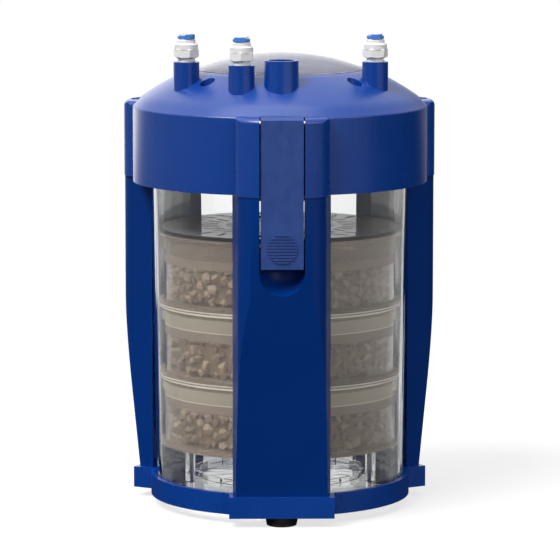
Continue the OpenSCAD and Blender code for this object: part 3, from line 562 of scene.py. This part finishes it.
tray_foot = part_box("tray_lower")[0].z
tray_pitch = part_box("tray_middle")[0].z - tray_foot
BROWN_HAZE = colour(0.270, 0.225, 0.190)
PALE_HAZE = colour(0.425, 0.388, 0.315)
# painted highlight: the light that the rims' rounded edges catch, set as a haze colour
PAINTED_RIM_HIGHLIGHT = colour(0.80, 0.77, 0.68)
FROM_FOOT = [
    # height in millimetres, colour and share of the haze: the foot and the clear part over it
    (0.0, BROWN_HAZE, 0.5), (3.2, BROWN_HAZE, 0.5), (3.8, BROWN_HAZE, 0.13),
]
FROM_RIM = [
    # and, down from the rim, the cloudy part, a thin painted highlight line, the pale part and
    # the rim's two painted highlight lines
    (21.5, BROWN_HAZE, 0.13), (20.0, BROWN_HAZE, 0.6), (14.5, BROWN_HAZE, 0.6),
    (14.3, PAINTED_RIM_HIGHLIGHT, 0.5), (14.1, PAINTED_RIM_HIGHLIGHT, 0.5), (13.8, PALE_HAZE, 0.5),
    (5.6, PALE_HAZE, 0.5), (5.0, BROWN_HAZE, 0.5), (3.3, BROWN_HAZE, 0.5),
    (3.0, PAINTED_RIM_HIGHLIGHT, 0.6), (1.9, PAINTED_RIM_HIGHLIGHT, 0.6), (1.6, BROWN_HAZE, 0.5),
    (0.8, BROWN_HAZE, 0.5), (0.6, PAINTED_RIM_HIGHLIGHT, 0.6),
]
TRAY_BANDS = (tray_foot, tray_pitch, 2,
              [(z * MM, tint, share) for z, tint, share in FROM_FOOT]
              + [(tray_pitch - z * MM, tint, share) for z, tint, share in FROM_RIM],
              BROWN_HAZE)
print("trays stand", round(tray_pitch / MM, 2), "mm apart")

# %% Clear finishes
GLOW = 0.3      # share of the haze that light from the other side brightens


def clear_plastic(name, tint, ior, roughness, haze_tint, haze, wave_size, wave_length,
                  wave_depth, scratches, shadow_tint, bands=None):
    """Clear plastic that lets lamp light through. Haze is the share that scatters in its own
    colour, and bands gives both by height."""
    material, tree, add, out = new_material(name)
    flow = add("ShaderNodeGroup",
               {"Wave Size": wave_size * MM, "Length": wave_length, "Roughness": roughness,
                "Scratches": scratches}, node_tree=FLOW_WAVES)
    bump = add("ShaderNodeBump", {"Distance": wave_depth * MM})
    glass = add("ShaderNodeBsdfPrincipled",
                {"Base Color": tint, "IOR": ior, "Transmission Weight": 1.0})
    cloud = add("ShaderNodeBsdfDiffuse", {"Color": haze_tint})
    glow = add("ShaderNodeBsdfTranslucent", {"Color": haze_tint})
    either = add("ShaderNodeMixShader", {"Fac": GLOW})
    hazy = add("ShaderNodeMixShader", {"Fac": haze})
    if bands:
        shade, share = banded_haze(tree, add, *bands)
        wire(tree,
             (shade, "Result", cloud, "Color"),
             (shade, "Result", glow, "Color"),
             (share, "Alpha", hazy, "Fac"))
    path = add("ShaderNodeLightPath")
    through = add("ShaderNodeBsdfTransparent",
                  {"Color": colour(shadow_tint, shadow_tint, shadow_tint)})
    mix = add("ShaderNodeMixShader")
    wire(tree,
         (flow, "Roughness", glass, "Roughness"),
         (flow, "Waves", bump, "Height"), (bump, 0, glass, "Normal"),
         (path, "Is Shadow Ray", mix, "Fac"),
         (glass, 0, hazy, 1),
         (cloud, 0, either, 1), (glow, 0, either, 2), (either, 0, hazy, 2),
         (hazy, 0, mix, 1), (through, 0, mix, 2), (mix, 0, out, "Surface"))
    return material


NO_HAZE = colour(1, 1, 1)
CLEARS = {
    # tint, refractive index, roughness, haze colour and share, wave size, length and depth,
    # scratches, shadow, and bands of haze
    "canister_clear": (colour(0.985, 0.99, 0.99), 1.49, 0.01, NO_HAZE, 0.0,
                       14, 9.0, 0.12, 0.05, 0.97),
    "tray_clear": (colour(0.86, 0.80, 0.735), 1.45, 0.02, BROWN_HAZE, 0.12,
                   10, 4.0, 0.12, 0.08, 0.94, TRAY_BANDS),
    "cover_clear": (colour(0.50, 0.50, 0.51), 1.45, 0.12, colour(0.45, 0.45, 0.46), 0.22,
                    10, 4.0, 0.05, 0.08, 0.9),
    "dome_smoke": (colour(0.72, 0.72, 0.78), 1.45, 0.05, colour(0.25, 0.26, 0.34), 0.3,
                   20, 1.0, 0.10, 0.06, 0.85),
}
FINISH.update({name: clear_plastic(name, *values) for name, values in CLEARS.items()})
print("clear finishes", sorted(CLEARS))

# %% [markdown]
# ## Copies with rounded edges
#
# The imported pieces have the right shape, but each of their edges is perfectly sharp, and a
# moulded edge never is. The eye finds a real edge by the thin light that its rounding
# catches. Each piece is copied, its loose triangles are welded and merged into flat faces,
# and only then are its sharp edges bevelled. The radius is the piece's own: a clip's edge is
# finer than a lid's. On a few pieces a merged flat with holes in it shades in streaks, so
# these keep their triangles.

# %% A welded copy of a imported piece
WELD = 0.002 * MM               # corners closer than this are one corner
FLAT = math.radians(0.4)        # faces that turn less than this are one flat face
TRIANGLES_KEPT = ("latch", "lid", "tray_cover")     # pieces that shade worse with merged flats


def welded_copy(name, node):
    """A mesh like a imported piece's, with its triangles merged into larger faces."""
    bm = bmesh.new()
    bm.from_mesh(frame["nodes"][node].data)
    bmesh.ops.remove_doubles(bm, verts=bm.verts, dist=WELD)
    bmesh.ops.dissolve_degenerate(bm, edges=bm.edges, dist=WELD)
    if not node.startswith(TRIANGLES_KEPT):
        bmesh.ops.dissolve_limit(
            bm, angle_limit=FLAT, verts=bm.verts, edges=bm.edges, delimit={"NORMAL"})
    return mesh_from(bm, name)


# %% Rounding its edges
BEVEL_STEPS = 2
BEVEL_FROM = math.radians(28)   # edges sharper than this are rounded
CREASE = 40                     # edges sharper than this, in degrees, stay sharp to the eye


def bake_modifiers(thing):
    """Turns what the modifiers make into the object's own mesh."""
    bpy.context.view_layer.update()
    evaluated = thing.evaluated_get(bpy.context.evaluated_depsgraph_get())
    mesh = bpy.data.meshes.new_from_object(evaluated)
    mesh.name = thing.name
    thing.modifiers.clear()
    old = thing.data
    thing.data = mesh
    bpy.data.meshes.remove(old)
    return thing


def smooth(mesh, angle=CREASE):
    """Smooth shading that stops at edges sharper than an angle in degrees."""
    mesh.shade_smooth()
    mesh.set_sharp_from_angle(angle=math.radians(angle))


def round_edges(thing, radius):
    """Bevels the sharp edges and keeps the flats flat."""
    bevel = thing.modifiers.new("edges", "BEVEL")
    bevel.width = radius * MM
    bevel.segments = BEVEL_STEPS
    bevel.limit_method = "ANGLE"
    bevel.angle_limit = BEVEL_FROM
    bevel.miter_outer = "MITER_ARC"
    bake_modifiers(thing)
    smooth(thing.data)
    thing.modifiers.new("flats", "WEIGHTED_NORMAL").keep_sharp = True
    return bake_modifiers(thing)


# %% Finish and place of a piece
def each(kind, places=("front", "right", "left")):
    """The names of the pieces of one kind."""
    return [f"{kind}_{place}" for place in places]


SLOT_OF = {row["node"]: row["material_slot"] for row in frame["record"]["subparts"]}
BODY_OF = {node: body for body, nodes in frame["record"]["behaviour"]["bodies"].items()
           for node in nodes}
OTHER_FINISH = {"tray_cover": "cover_clear"}                        # greyer than the trays
# the legs get the darker blue: painted shade for the weaker light low down
OTHER_FINISH.update({node: "leg_blue" for node in each("leg")})     # darker than the lid


def dress(thing, node):
    """Gives a finished piece its node's finish, and puts it in its node's place."""
    thing.data.materials.clear()
    thing.data.materials.append(FINISH[OTHER_FINISH.get(node, SLOT_OF[node])])
    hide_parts(node)
    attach(thing, BODY_OF[node])


# %% [markdown]
# ## The moulded pieces
#
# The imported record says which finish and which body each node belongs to, so one list of
# edge radii is all that is needed here. Thick mouldings have softer edges than thin ones.

# %% Edge radius of each piece, in millimetres
PORTS = ("left", "centre", "right")
EDGE_RADII = {
    0.9: ["base_ring", "lid", *each("leg")],
    0.5: ["canister"],
    0.4: ["pump_carrier", "impeller_cover", "motor_stator", "riser_tube", "rotor_magnet"],
    0.3: [*each("latch"), *each("tray", ("lower", "middle", "upper")),
          "lid_dome", "impeller", "tray_gasket"],
    0.15: each("fitting", PORTS),
    0.2: [*each("collet", PORTS), *each("clip", PORTS), "fitting_washers", "latch_pins",
          "pump_shaft", "shaft_bushes", "tray_cover"],
}


def rounded(node, radius):
    """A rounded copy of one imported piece, in its place."""
    name = node + "_moulded"
    thing = round_edges(put_in_scene(name, welded_copy(name, node)), radius)
    dress(thing, node)
    print(f"{node}: {len(frame['nodes'][node].data.polygons)} triangles packed, "
          f"{len(thing.data.polygons)} faces with edges rounded by {radius} mm")


for radius, nodes in EDGE_RADII.items():
    for node in nodes:
        rounded(node, radius)

# %% [markdown]
# ## Round soft pieces
#
# Feet, seals and O-rings are turned shapes in rubber. Their section is drawn as a few
# corners, each with its own radius, and then turned round the axis. Drawing the section gives
# the soft, full edge of moulded rubber, which a bevel on a sharp ring doesn't.

# %% A section turned round an axis
def rounded_section(corners, steps=5):
    """Corners are (radius, height, rounding) in millimetres, in order round a closed section."""
    points = []
    for i, (r, z, fillet) in enumerate(corners):
        here = Vector((r, z))
        before = (Vector(corners[i - 1][:2]) - here).normalized()
        after = (Vector(corners[(i + 1) % len(corners)][:2]) - here).normalized()
        if fillet <= 0:
            points.append(here)
            continue
        half = before.angle(after) / 2
        reach = fillet / math.tan(half)
        centre = here + (before + after).normalized() * (fillet / math.sin(half))
        start, end = here + before * reach - centre, here + after * reach - centre
        turn = start.angle_signed(end)
        for k in range(steps + 1):
            points.append(centre + Matrix.Rotation(-turn * k / steps, 2) @ start)
    return points


def turn_section(bm, section, centre, steps):
    """Adds a closed section, as (radius, height) in millimetres, turned round an upright axis."""
    rings = []
    for k in range(steps):
        a = 2 * math.pi * k / steps
        rings.append([bm.verts.new(centre + Vector((math.cos(a) * r, math.sin(a) * r, z)) * MM)
                      for r, z in section])
    for ring, following in zip(rings, rings[1:] + rings[:1]):
        for i in range(len(section)):
            j = (i + 1) % len(section)
            bm.faces.new((ring[i], following[i], following[j], ring[j]))


def rubber(node, sections, steps=96):
    """Makes a soft piece of turned sections, given as corners and centre, and dresses it."""
    bm = bmesh.new()
    for corners, centre in sections:
        turn_section(bm, rounded_section(corners), centre, steps)
    bmesh.ops.remove_doubles(bm, verts=bm.verts, dist=WELD)
    bmesh.ops.dissolve_degenerate(bm, edges=bm.edges, dist=WELD / 2)
    bmesh.ops.recalc_face_normals(bm, faces=bm.faces)
    thing = put_in_scene(node + "_rubber", mesh_from(bm, node + "_rubber"))
    smooth(thing.data)
    dress(thing, node)
    print(f"{node}: {len(sections)} turned, {len(thing.data.polygons)} faces")


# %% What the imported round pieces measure
def sizes_of(low, high):
    """Centre, outer radius, lowest and highest point of an upright round shape's box, in
    millimetres but for the centre."""
    return middle(low, high), (high.x - low.x) / 2 / MM, low.z / MM, high.z / MM


def inner_radius(corners, centre):
    """The smallest distance of some corners from an upright axis, in millimetres."""
    return min((corner.xy - centre.xy).length for corner in corners) / MM


def ring_sizes(node):
    """Centre, inner and outer radius, lowest and highest point of a packed ring."""
    centre, r, z0, z1 = sizes_of(*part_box(node))
    corners = [v.co for v in frame["nodes"][node].data.vertices]
    return centre, inner_radius(corners, centre), r, z0, z1


def ring_corners(inner, outer, z0, z1, rounding):
    """The section of a ring with four equal edges."""
    return [(inner, z0, rounding), (outer, z0, rounding),
            (outer, z1, rounding), (inner, z1, rounding)]


# %% Rubber feet
FOOT_BORE, FOOT_RECESS, FOOT_RECESS_Z = 2.1, 3.9, 3.4


def foot(node):
    """A tapered foot with a full lower edge, a fine groove and a counterbore for its screw."""
    centre, r, z0, z1 = sizes_of(*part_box(node))
    corners = [
        (FOOT_BORE, z1, 0), (r, z1, 0.3), (r - 0.85, 2.1, 0.2), (r - 1.1, 1.9, 0.1),
        (r - 1.1, 1.6, 0.1), (r - 0.95, 1.4, 0.1), (r - 1.2, z0, 0.9),
        (FOOT_RECESS + 1.2, z0, 0.5), (FOOT_RECESS, z0 + 0.6, 0.3),
        (FOOT_RECESS, FOOT_RECESS_Z, 0), (FOOT_BORE, FOOT_RECESS_Z, 0)]
    rubber(node, [(corners, centre)])


for node in each("foot"):
    foot(node)

# %% Seals
for node, rounding in (("canister_seal", 1.0), ("dome_seal", 0.35)):
    centre, *sizes = ring_sizes(node)
    rubber(node, [(ring_corners(*sizes, rounding), centre)], 160)


# %% Cable gland
def gland(node):
    """A rubber plug with a raised lip round the lead's hole."""
    centre, hole, r, z0, z1 = ring_sizes(node)
    corners = [(hole, z0, 0.3), (r, z0, 0.5), (r, z1 - 1.2, 0), (hole + 2.2, z1 - 1.2, 0.4),
               (hole + 1.5, z1, 0.4), (hole, z1, 0.4)]
    rubber(node, [(corners, centre)], 64)


gland("cable_gland")


# %% O-rings
def islands(node):
    """The separate solids of a node, as lists of their corners."""
    bm = bmesh.new()
    bm.from_mesh(frame["nodes"][node].data)
    bmesh.ops.remove_doubles(bm, verts=bm.verts, dist=WELD)
    found, reached = [], set()
    for first in bm.verts:
        if first in reached:
            continue
        reached.add(first)
        edge, island = [first], []
        while edge:
            v = edge.pop()
            island.append(v.co.copy())
            for other in [e.other_vert(v) for e in v.link_edges]:
                if other not in reached:
                    reached.add(other)
                    edge.append(other)
        found.append(island)
    bm.free()
    return found


def box_of(corners):
    """Lowest and highest corner of the box round some points."""
    return Vector(map(min, zip(*corners))), Vector(map(max, zip(*corners)))


def o_rings(node):
    """One round-section ring in each fitting."""
    sections = []
    for corners in islands(node):
        centre, outer, z0, z1 = sizes_of(*box_of(corners))
        inner = inner_radius(corners, centre)
        full = min(outer - inner, z1 - z0) / 2 - 0.02
        sections.append((ring_corners(inner, outer, z0, z1, full), centre))
    rubber(node, sections, 48)


o_rings("fitting_orings")

# %% [markdown]
# ## Screws
#
# The screws come in three sets that differ only in length and place. One screw is turned with
# a hexagon socket in its head, and Geometry Nodes set a copy of it on every point of a small
# point mesh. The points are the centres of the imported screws, so they follow the model.

# %% One screw
SCREW_SIDES = 48
THREAD_PITCH = 1.0
THREAD_ROOT = 0.8       # radius between the ridges, as a share of the shank's
SCREW_CREASE = 35


def screw_mesh(head_r, head_h, shank_r, length):
    """A screw that points down from its head's underside at the origin. Takes millimetres."""
    bm = bmesh.new()

    def ring(radius, z, hexagon=False):
        points = []
        for k in range(SCREW_SIDES):
            a = 2 * math.pi * k / SCREW_SIDES
            r = radius
            if hexagon:
                to_flat = (a + math.pi / 6) % (math.pi / 3) - math.pi / 6
                r = radius * math.cos(math.pi / 6) / math.cos(to_flat)
            points.append(bm.verts.new(Vector((math.cos(a) * r, math.sin(a) * r, z)) * MM))
        return points

    socket_r, socket_h, root_r = head_r * 0.5, head_h * 0.6, shank_r * THREAD_ROOT
    rings = [ring(socket_r, head_h - socket_h, True), ring(socket_r, head_h - 0.12, True),
             ring(socket_r * 1.16, head_h), ring(head_r - 0.5, head_h),
             ring(head_r - 0.15, head_h - 0.15), ring(head_r, head_h - 0.5),
             ring(head_r, 0.15), ring(head_r - 0.15, 0), ring(shank_r, 0)]
    z = -0.5
    while z > -length + THREAD_PITCH:
        rings += [ring(shank_r, z), ring(root_r, z - THREAD_PITCH * 0.35),
                  ring(root_r, z - THREAD_PITCH * 0.55)]
        z -= THREAD_PITCH
    rings += [ring(shank_r, -length + 0.5), ring(shank_r * 0.7, -length)]
    for a, b in zip(rings, rings[1:]):
        for k in range(SCREW_SIDES):
            following = (k + 1) % SCREW_SIDES
            bm.faces.new((a[k], a[following], b[following], b[k]))
    bm.faces.new(rings[0])
    bm.faces.new(rings[-1])
    bmesh.ops.recalc_face_normals(bm, faces=bm.faces)
    mesh = mesh_from(bm, "screw")
    smooth(mesh, SCREW_CREASE)
    return mesh


# %% A tree that sets a copy on every point
def geometry_tree(name, **inputs):
    """A geometry node group with inputs given by name and kind. Returns it, a function that
    adds nodes, and both ends."""
    tree = bpy.data.node_groups.new(name, "GeometryNodeTree")
    for label, kind in {"Geometry": "Geometry", **inputs}.items():
        tree.interface.new_socket(label, in_out="INPUT", socket_type="NodeSocket" + kind)
    tree.interface.new_socket("Geometry", in_out="OUTPUT", socket_type="NodeSocketGeometry")
    add = new_nodes(tree)
    return tree, add, add("NodeGroupInput"), add("NodeGroupOutput")


def grow(thing, tree, **values):
    """Runs a tree on an object with its inputs set by name, and keeps the result."""
    modifier = thing.modifiers.new(tree.name, "NODES")
    modifier.node_group = tree
    for item in tree.interface.items_tree:
        if item.in_out == "INPUT" and item.name in values:
            modifier[item.identifier] = values[item.name]
    bake_modifiers(thing)


def copies_on_points():
    """Sets one object on each point, then makes it real and gives it its material."""
    tree, add, given, made = geometry_tree(
        "copies_on_points", Piece="Object", Material="Material")
    piece = add("GeometryNodeObjectInfo")
    place = add("GeometryNodeInstanceOnPoints")
    real = add("GeometryNodeRealizeInstances")
    paint = add("GeometryNodeSetMaterial")
    wire(tree,
         (given, "Piece", piece, "Object"),
         (given, "Geometry", place, "Points"), (piece, "Geometry", place, "Instance"),
         (place, 0, real, 0),
         (real, 0, paint, "Geometry"), (given, "Material", paint, "Material"),
         (paint, 0, made, "Geometry"))
    return tree


COPIES_ON_POINTS = copies_on_points()
print(COPIES_ON_POINTS.name, "has", len(COPIES_ON_POINTS.nodes), "nodes")


# %% The three sets of screws
MIDDLE_R = 0.5          # corners closer to the axis are in the middle of an end


def screws(node, head_down):
    """Puts a screw in place of each packed one."""
    points = []
    for corners in islands(node):
        low, high = box_of(corners)
        centre, head_r = sizes_of(low, high)[:2]
        outline = [((corner.xy - centre.xy).length, corner.z) for corner in corners]
        shank_r = min(r for r, z in outline if r > MIDDLE_R * MM) / MM
        heads = [z for r, z in outline if r > 0.9 * head_r * MM]
        head_h = (max(heads) - min(heads)) / MM
        length = (high.z - low.z) / MM - head_h
        centre.z = max(heads) if head_down else min(heads)
        points.append(centre)
    one = screw_mesh(head_r, head_h, shank_r, length)
    if head_down:
        one.transform(Matrix.Rotation(math.pi, 4, "X"))
    pattern = put_in_scene("one_" + node, one)
    mesh = bpy.data.meshes.new(node + "_turned")
    mesh.from_pydata(points, [], [])
    thing = put_in_scene(node + "_turned", mesh)
    grow(thing, COPIES_ON_POINTS, Piece=pattern, Material=FINISH[SLOT_OF[node]])
    bpy.data.objects.remove(pattern)
    dress(thing, node)
    print(f"{node}: {len(points)} screws, head {2 * head_r:.1f} by {head_h:.1f} mm, "
          f"{length:.1f} mm long")


for node, head_down in (("lid_screws", False), ("leg_screws", True), ("foot_screws", True)):
    screws(node, head_down)

# %% [markdown]
# ## Gravel
#
# The trays hold crushed stone, six to ten millimetres across, flat-sided and jumbled. A
# thousand stones a tray would be slow to place by hand, and only the outer layer is ever
# seen. So Geometry Nodes scatter a few stone shapes over a skin that lines the tray: its wall,
# its floor and the top of the heap. Stones that would poke through the wall are pushed
# back to it, which gives the flat faces that lie against clear plastic. The top is pressed
# level in the same way, as a filled tray is when the next one is set on it.

# %% A few stone shapes
STONE_SHAPES = 10
STONE_CORNERS = 11
GOLDEN_ANGLE = 2.399963     # spreads the corners evenly round the ball


def stone_mesh(seed):
    """The hull of a few points round a flattened ball: a broken stone of unit size."""
    draw = random.Random(seed)
    bm = bmesh.new()
    flat, wide = draw.uniform(0.5, 0.75), draw.uniform(0.75, 1.0)
    for k in range(STONE_CORNERS):
        up = 1 - 2 * (k + 0.5) / STONE_CORNERS
        a = k * GOLDEN_ANGLE + draw.uniform(-0.5, 0.5)
        out = math.sqrt(1 - up * up) * draw.uniform(0.8, 1.0)
        bm.verts.new((0.5 * math.cos(a) * out, 0.5 * math.sin(a) * out * wide, 0.5 * up * flat))
    hull = bmesh.ops.convex_hull(bm, input=bm.verts)
    loose = [v for v in hull["geom_interior"] if isinstance(v, bmesh.types.BMVert)]
    bmesh.ops.delete(bm, geom=loose, context="VERTS")
    bmesh.ops.dissolve_limit(bm, angle_limit=math.radians(9), verts=bm.verts, edges=bm.edges)
    bmesh.ops.recalc_face_normals(bm, faces=bm.faces)
    return mesh_from(bm, f"stone_{seed}")


stones = bpy.data.collections.new("stone_shapes")
for seed in range(STONE_SHAPES):
    stones.objects.link(bpy.data.objects.new(f"stone_{seed}", stone_mesh(seed)))


# %% The stones' finish
STONE_DARK, STONE_PALE = colour(0.168, 0.131, 0.099), colour(0.350, 0.300, 0.248)
SPECK_SIZE, SPECK_DEPTH = 0.9, 0.12     # in millimetres


def crushed_stone():
    """Dull grey-brown stone whose shade differs from piece to piece, with fine specks."""
    material, tree, add, out = new_material("stone")
    shade = add("ShaderNodeAttribute", attribute_name="shade")
    tone = add("ShaderNodeValToRGB")
    for stop, shade_of_stone in zip(tone.color_ramp.elements, (STONE_DARK, STONE_PALE)):
        stop.color = shade_of_stone
    where = add("ShaderNodeTexCoord")
    speck = add("ShaderNodeTexNoise", {"Scale": 1 / (SPECK_SIZE * MM), "Detail": 4})
    strength = ramp(add, 0.3, 0.7, 0.82, 1.14, "LINEAR")
    speckled = add("ShaderNodeMix", {"Factor": 1.0}, data_type="RGBA", blend_type="MULTIPLY")
    bump = add("ShaderNodeBump", {"Distance": SPECK_DEPTH * MM})
    body = add("ShaderNodeBsdfPrincipled", {"Roughness": 0.85, "Specular IOR Level": 0.3})
    wire(tree,
         (shade, "Fac", tone, "Fac"),
         (where, "Object", speck, "Vector"), (speck, "Fac", strength, "Value"),
         (tone, "Color", speckled, "A"), (strength, 0, speckled, "B"),
         (speckled, "Result", body, "Base Color"),
         (speck, "Fac", bump, "Height"), (bump, 0, body, "Normal"), (body, 0, out, "Surface"))
    return material


FINISH["stone"] = crushed_stone()
print("finishes", len(FINISH))


# %% The tree that scatters the stones
MOST_STONES = 100000        # on a square metre, before those that stand too close go


def gravel_tree():
    """Scatters stones on a skin and keeps them inside a wall, above a floor and under a level
    top."""
    tree, add, given, made = geometry_tree(
        "gravel", Stones="Collection", Spacing="Float", Smallest="Float", Largest="Float",
        Wall="Float", Floor="Float", Top="Float", Axis="Vector", Seed="Int",
        Material="Material")
    spread = add("GeometryNodeDistributePointsOnFaces", {"Density Max": MOST_STONES},
                 distribute_method="POISSON")
    shapes = add("GeometryNodeCollectionInfo",
                 {"Separate Children": True, "Reset Children": True})
    turn = add("FunctionNodeRandomValue", {"Max": (2 * math.pi,) * 3}, data_type="FLOAT_VECTOR")
    size = add("FunctionNodeRandomValue", data_type="FLOAT")
    which = add("FunctionNodeRandomValue", {5: STONE_SHAPES - 1}, data_type="INT")
    place = add("GeometryNodeInstanceOnPoints", {"Pick Instance": True})
    tone = add("FunctionNodeRandomValue", data_type="FLOAT")
    store = add("GeometryNodeStoreNamedAttribute", {"Name": "shade"},
                data_type="FLOAT", domain="INSTANCE")
    real = add("GeometryNodeRealizeInstances")
    here = add("GeometryNodeInputPosition")
    off = add("ShaderNodeVectorMath", operation="SUBTRACT")
    split = add("ShaderNodeSeparateXYZ")
    level = add("ShaderNodeCombineXYZ")
    radius = add("ShaderNodeVectorMath", operation="LENGTH")
    share = math_node(add, "DIVIDE")
    limit = math_node(add, "MINIMUM", b=1.0)
    pulled = add("ShaderNodeVectorMath", operation="SCALE")
    raised = math_node(add, "MAXIMUM")
    lowered = math_node(add, "MINIMUM")
    up = add("ShaderNodeCombineXYZ")
    lifted = add("ShaderNodeVectorMath", operation="ADD")
    back = add("ShaderNodeVectorMath", operation="ADD")
    move = add("GeometryNodeSetPosition")
    paint = add("GeometryNodeSetMaterial")
    wire(tree,
         (given, "Geometry", spread, "Mesh"), (given, "Spacing", spread, "Distance Min"),
         (given, "Seed", spread, "Seed"),
         (given, "Stones", shapes, "Collection"),
         (spread, "Points", place, "Points"), (shapes, 0, place, "Instance"),
         (which, 2, place, "Instance Index"), (turn, 0, place, "Rotation"),
         (given, "Smallest", size, 2), (given, "Largest", size, 3), (size, 1, place, "Scale"),
         (place, 0, store, "Geometry"), (tone, 1, store, "Value"), (store, 0, real, 0),
         (here, 0, off, 0), (given, "Axis", off, 1), (off, 0, split, 0),
         (split, "X", level, "X"), (split, "Y", level, "Y"), (level, 0, radius, 0),
         (given, "Wall", share, 0), (radius, "Value", share, 1), (share, 0, limit, 0),
         (level, 0, pulled, 0), (limit, 0, pulled, "Scale"),
         (split, "Z", raised, 0), (given, "Floor", raised, 1),
         (raised, 0, lowered, 0), (given, "Top", lowered, 1), (lowered, 0, up, "Z"),
         (pulled, 0, lifted, 0), (up, 0, lifted, 1),
         (lifted, 0, back, 0), (given, "Axis", back, 1),
         (real, 0, move, "Geometry"), (back, 0, move, "Position"),
         (move, 0, paint, "Geometry"), (given, "Material", paint, "Material"),
         (paint, 0, made, "Geometry"))
    return tree


GRAVEL = gravel_tree()
print(GRAVEL.name, "has", len(GRAVEL.nodes), "nodes")

# %% Gravel in each tray
STONE_SIZE = (6.5, 10.5)        # across, in millimetres
STONE_SPACING = 5.2
STONE_GAP = 0.1                 # to the tray's wall and floor
SKIN_DEPTH = 3.4                # from the wall in to the middle of the outer stones
SKIN_STEPS = 72
HEAP = 1.5                      # how far the middle stands above the wall
CORE_GAPS = (4, 4.5, 3, 2.5)    # from the core to the riser, the wall, the floor and the top
FIRST_SEED = 7


def add_skin(bm, r_in, r_out, z0, z1):
    """A closed ring-shaped skin whose top is heaped a little towards the middle."""
    section = [(r_in, z0), (r_out, z0), (r_out, z1), ((r_in + r_out) / 2, z1 + HEAP),
               (r_in, z1 + HEAP)]
    turn_section(bm, section, AXIS, SKIN_STEPS)
    bmesh.ops.recalc_face_normals(bm, faces=bm.faces)


def gravel(node, seed):
    """A tray's fill: scattered stones over a plain core that closes the gaps between them and
    shows the darkest stone colour there, as painted shade.
    """
    inner, r, z0, z1 = ring_sizes(node)[1:]
    top = z1 - STONE_SIZE[0] / 2
    bm = bmesh.new()
    add_skin(bm, inner + SKIN_DEPTH, r - SKIN_DEPTH, z0 + SKIN_DEPTH, top)
    thing = put_in_scene(node + "_stones", mesh_from(bm, node + "_stones"))
    grow(thing, GRAVEL, Stones=stones, Spacing=STONE_SPACING * MM,
         Smallest=STONE_SIZE[0] * MM, Largest=STONE_SIZE[1] * MM,
         Wall=(r - STONE_GAP) * MM, Floor=(z0 + STONE_GAP) * MM, Top=z1 * MM, Axis=AXIS,
         Seed=seed, Material=FINISH["stone"])
    count = len(thing.data.polygons)
    at_riser, at_wall, at_floor, at_top = CORE_GAPS
    # the core's new corners carry no stone tone, so it takes the darkest stone colour: painted
    # shade deep in the gaps
    bm = bmesh.new()
    bm.from_mesh(thing.data)
    add_skin(bm, inner + at_riser, r - at_wall, z0 + at_floor, top - at_top)
    bm.to_mesh(thing.data)
    bm.free()
    dress(thing, node)
    print(f"{node}: stones with {count} faces in all, {inner:.1f} to {r:.1f} mm from the axis")


for seed, node in enumerate(each("media", ("lower", "middle", "upper")), FIRST_SEED):
    gravel(node, seed)
for thing in list(stones.objects):
    bpy.data.objects.remove(thing)
bpy.data.collections.remove(stones)
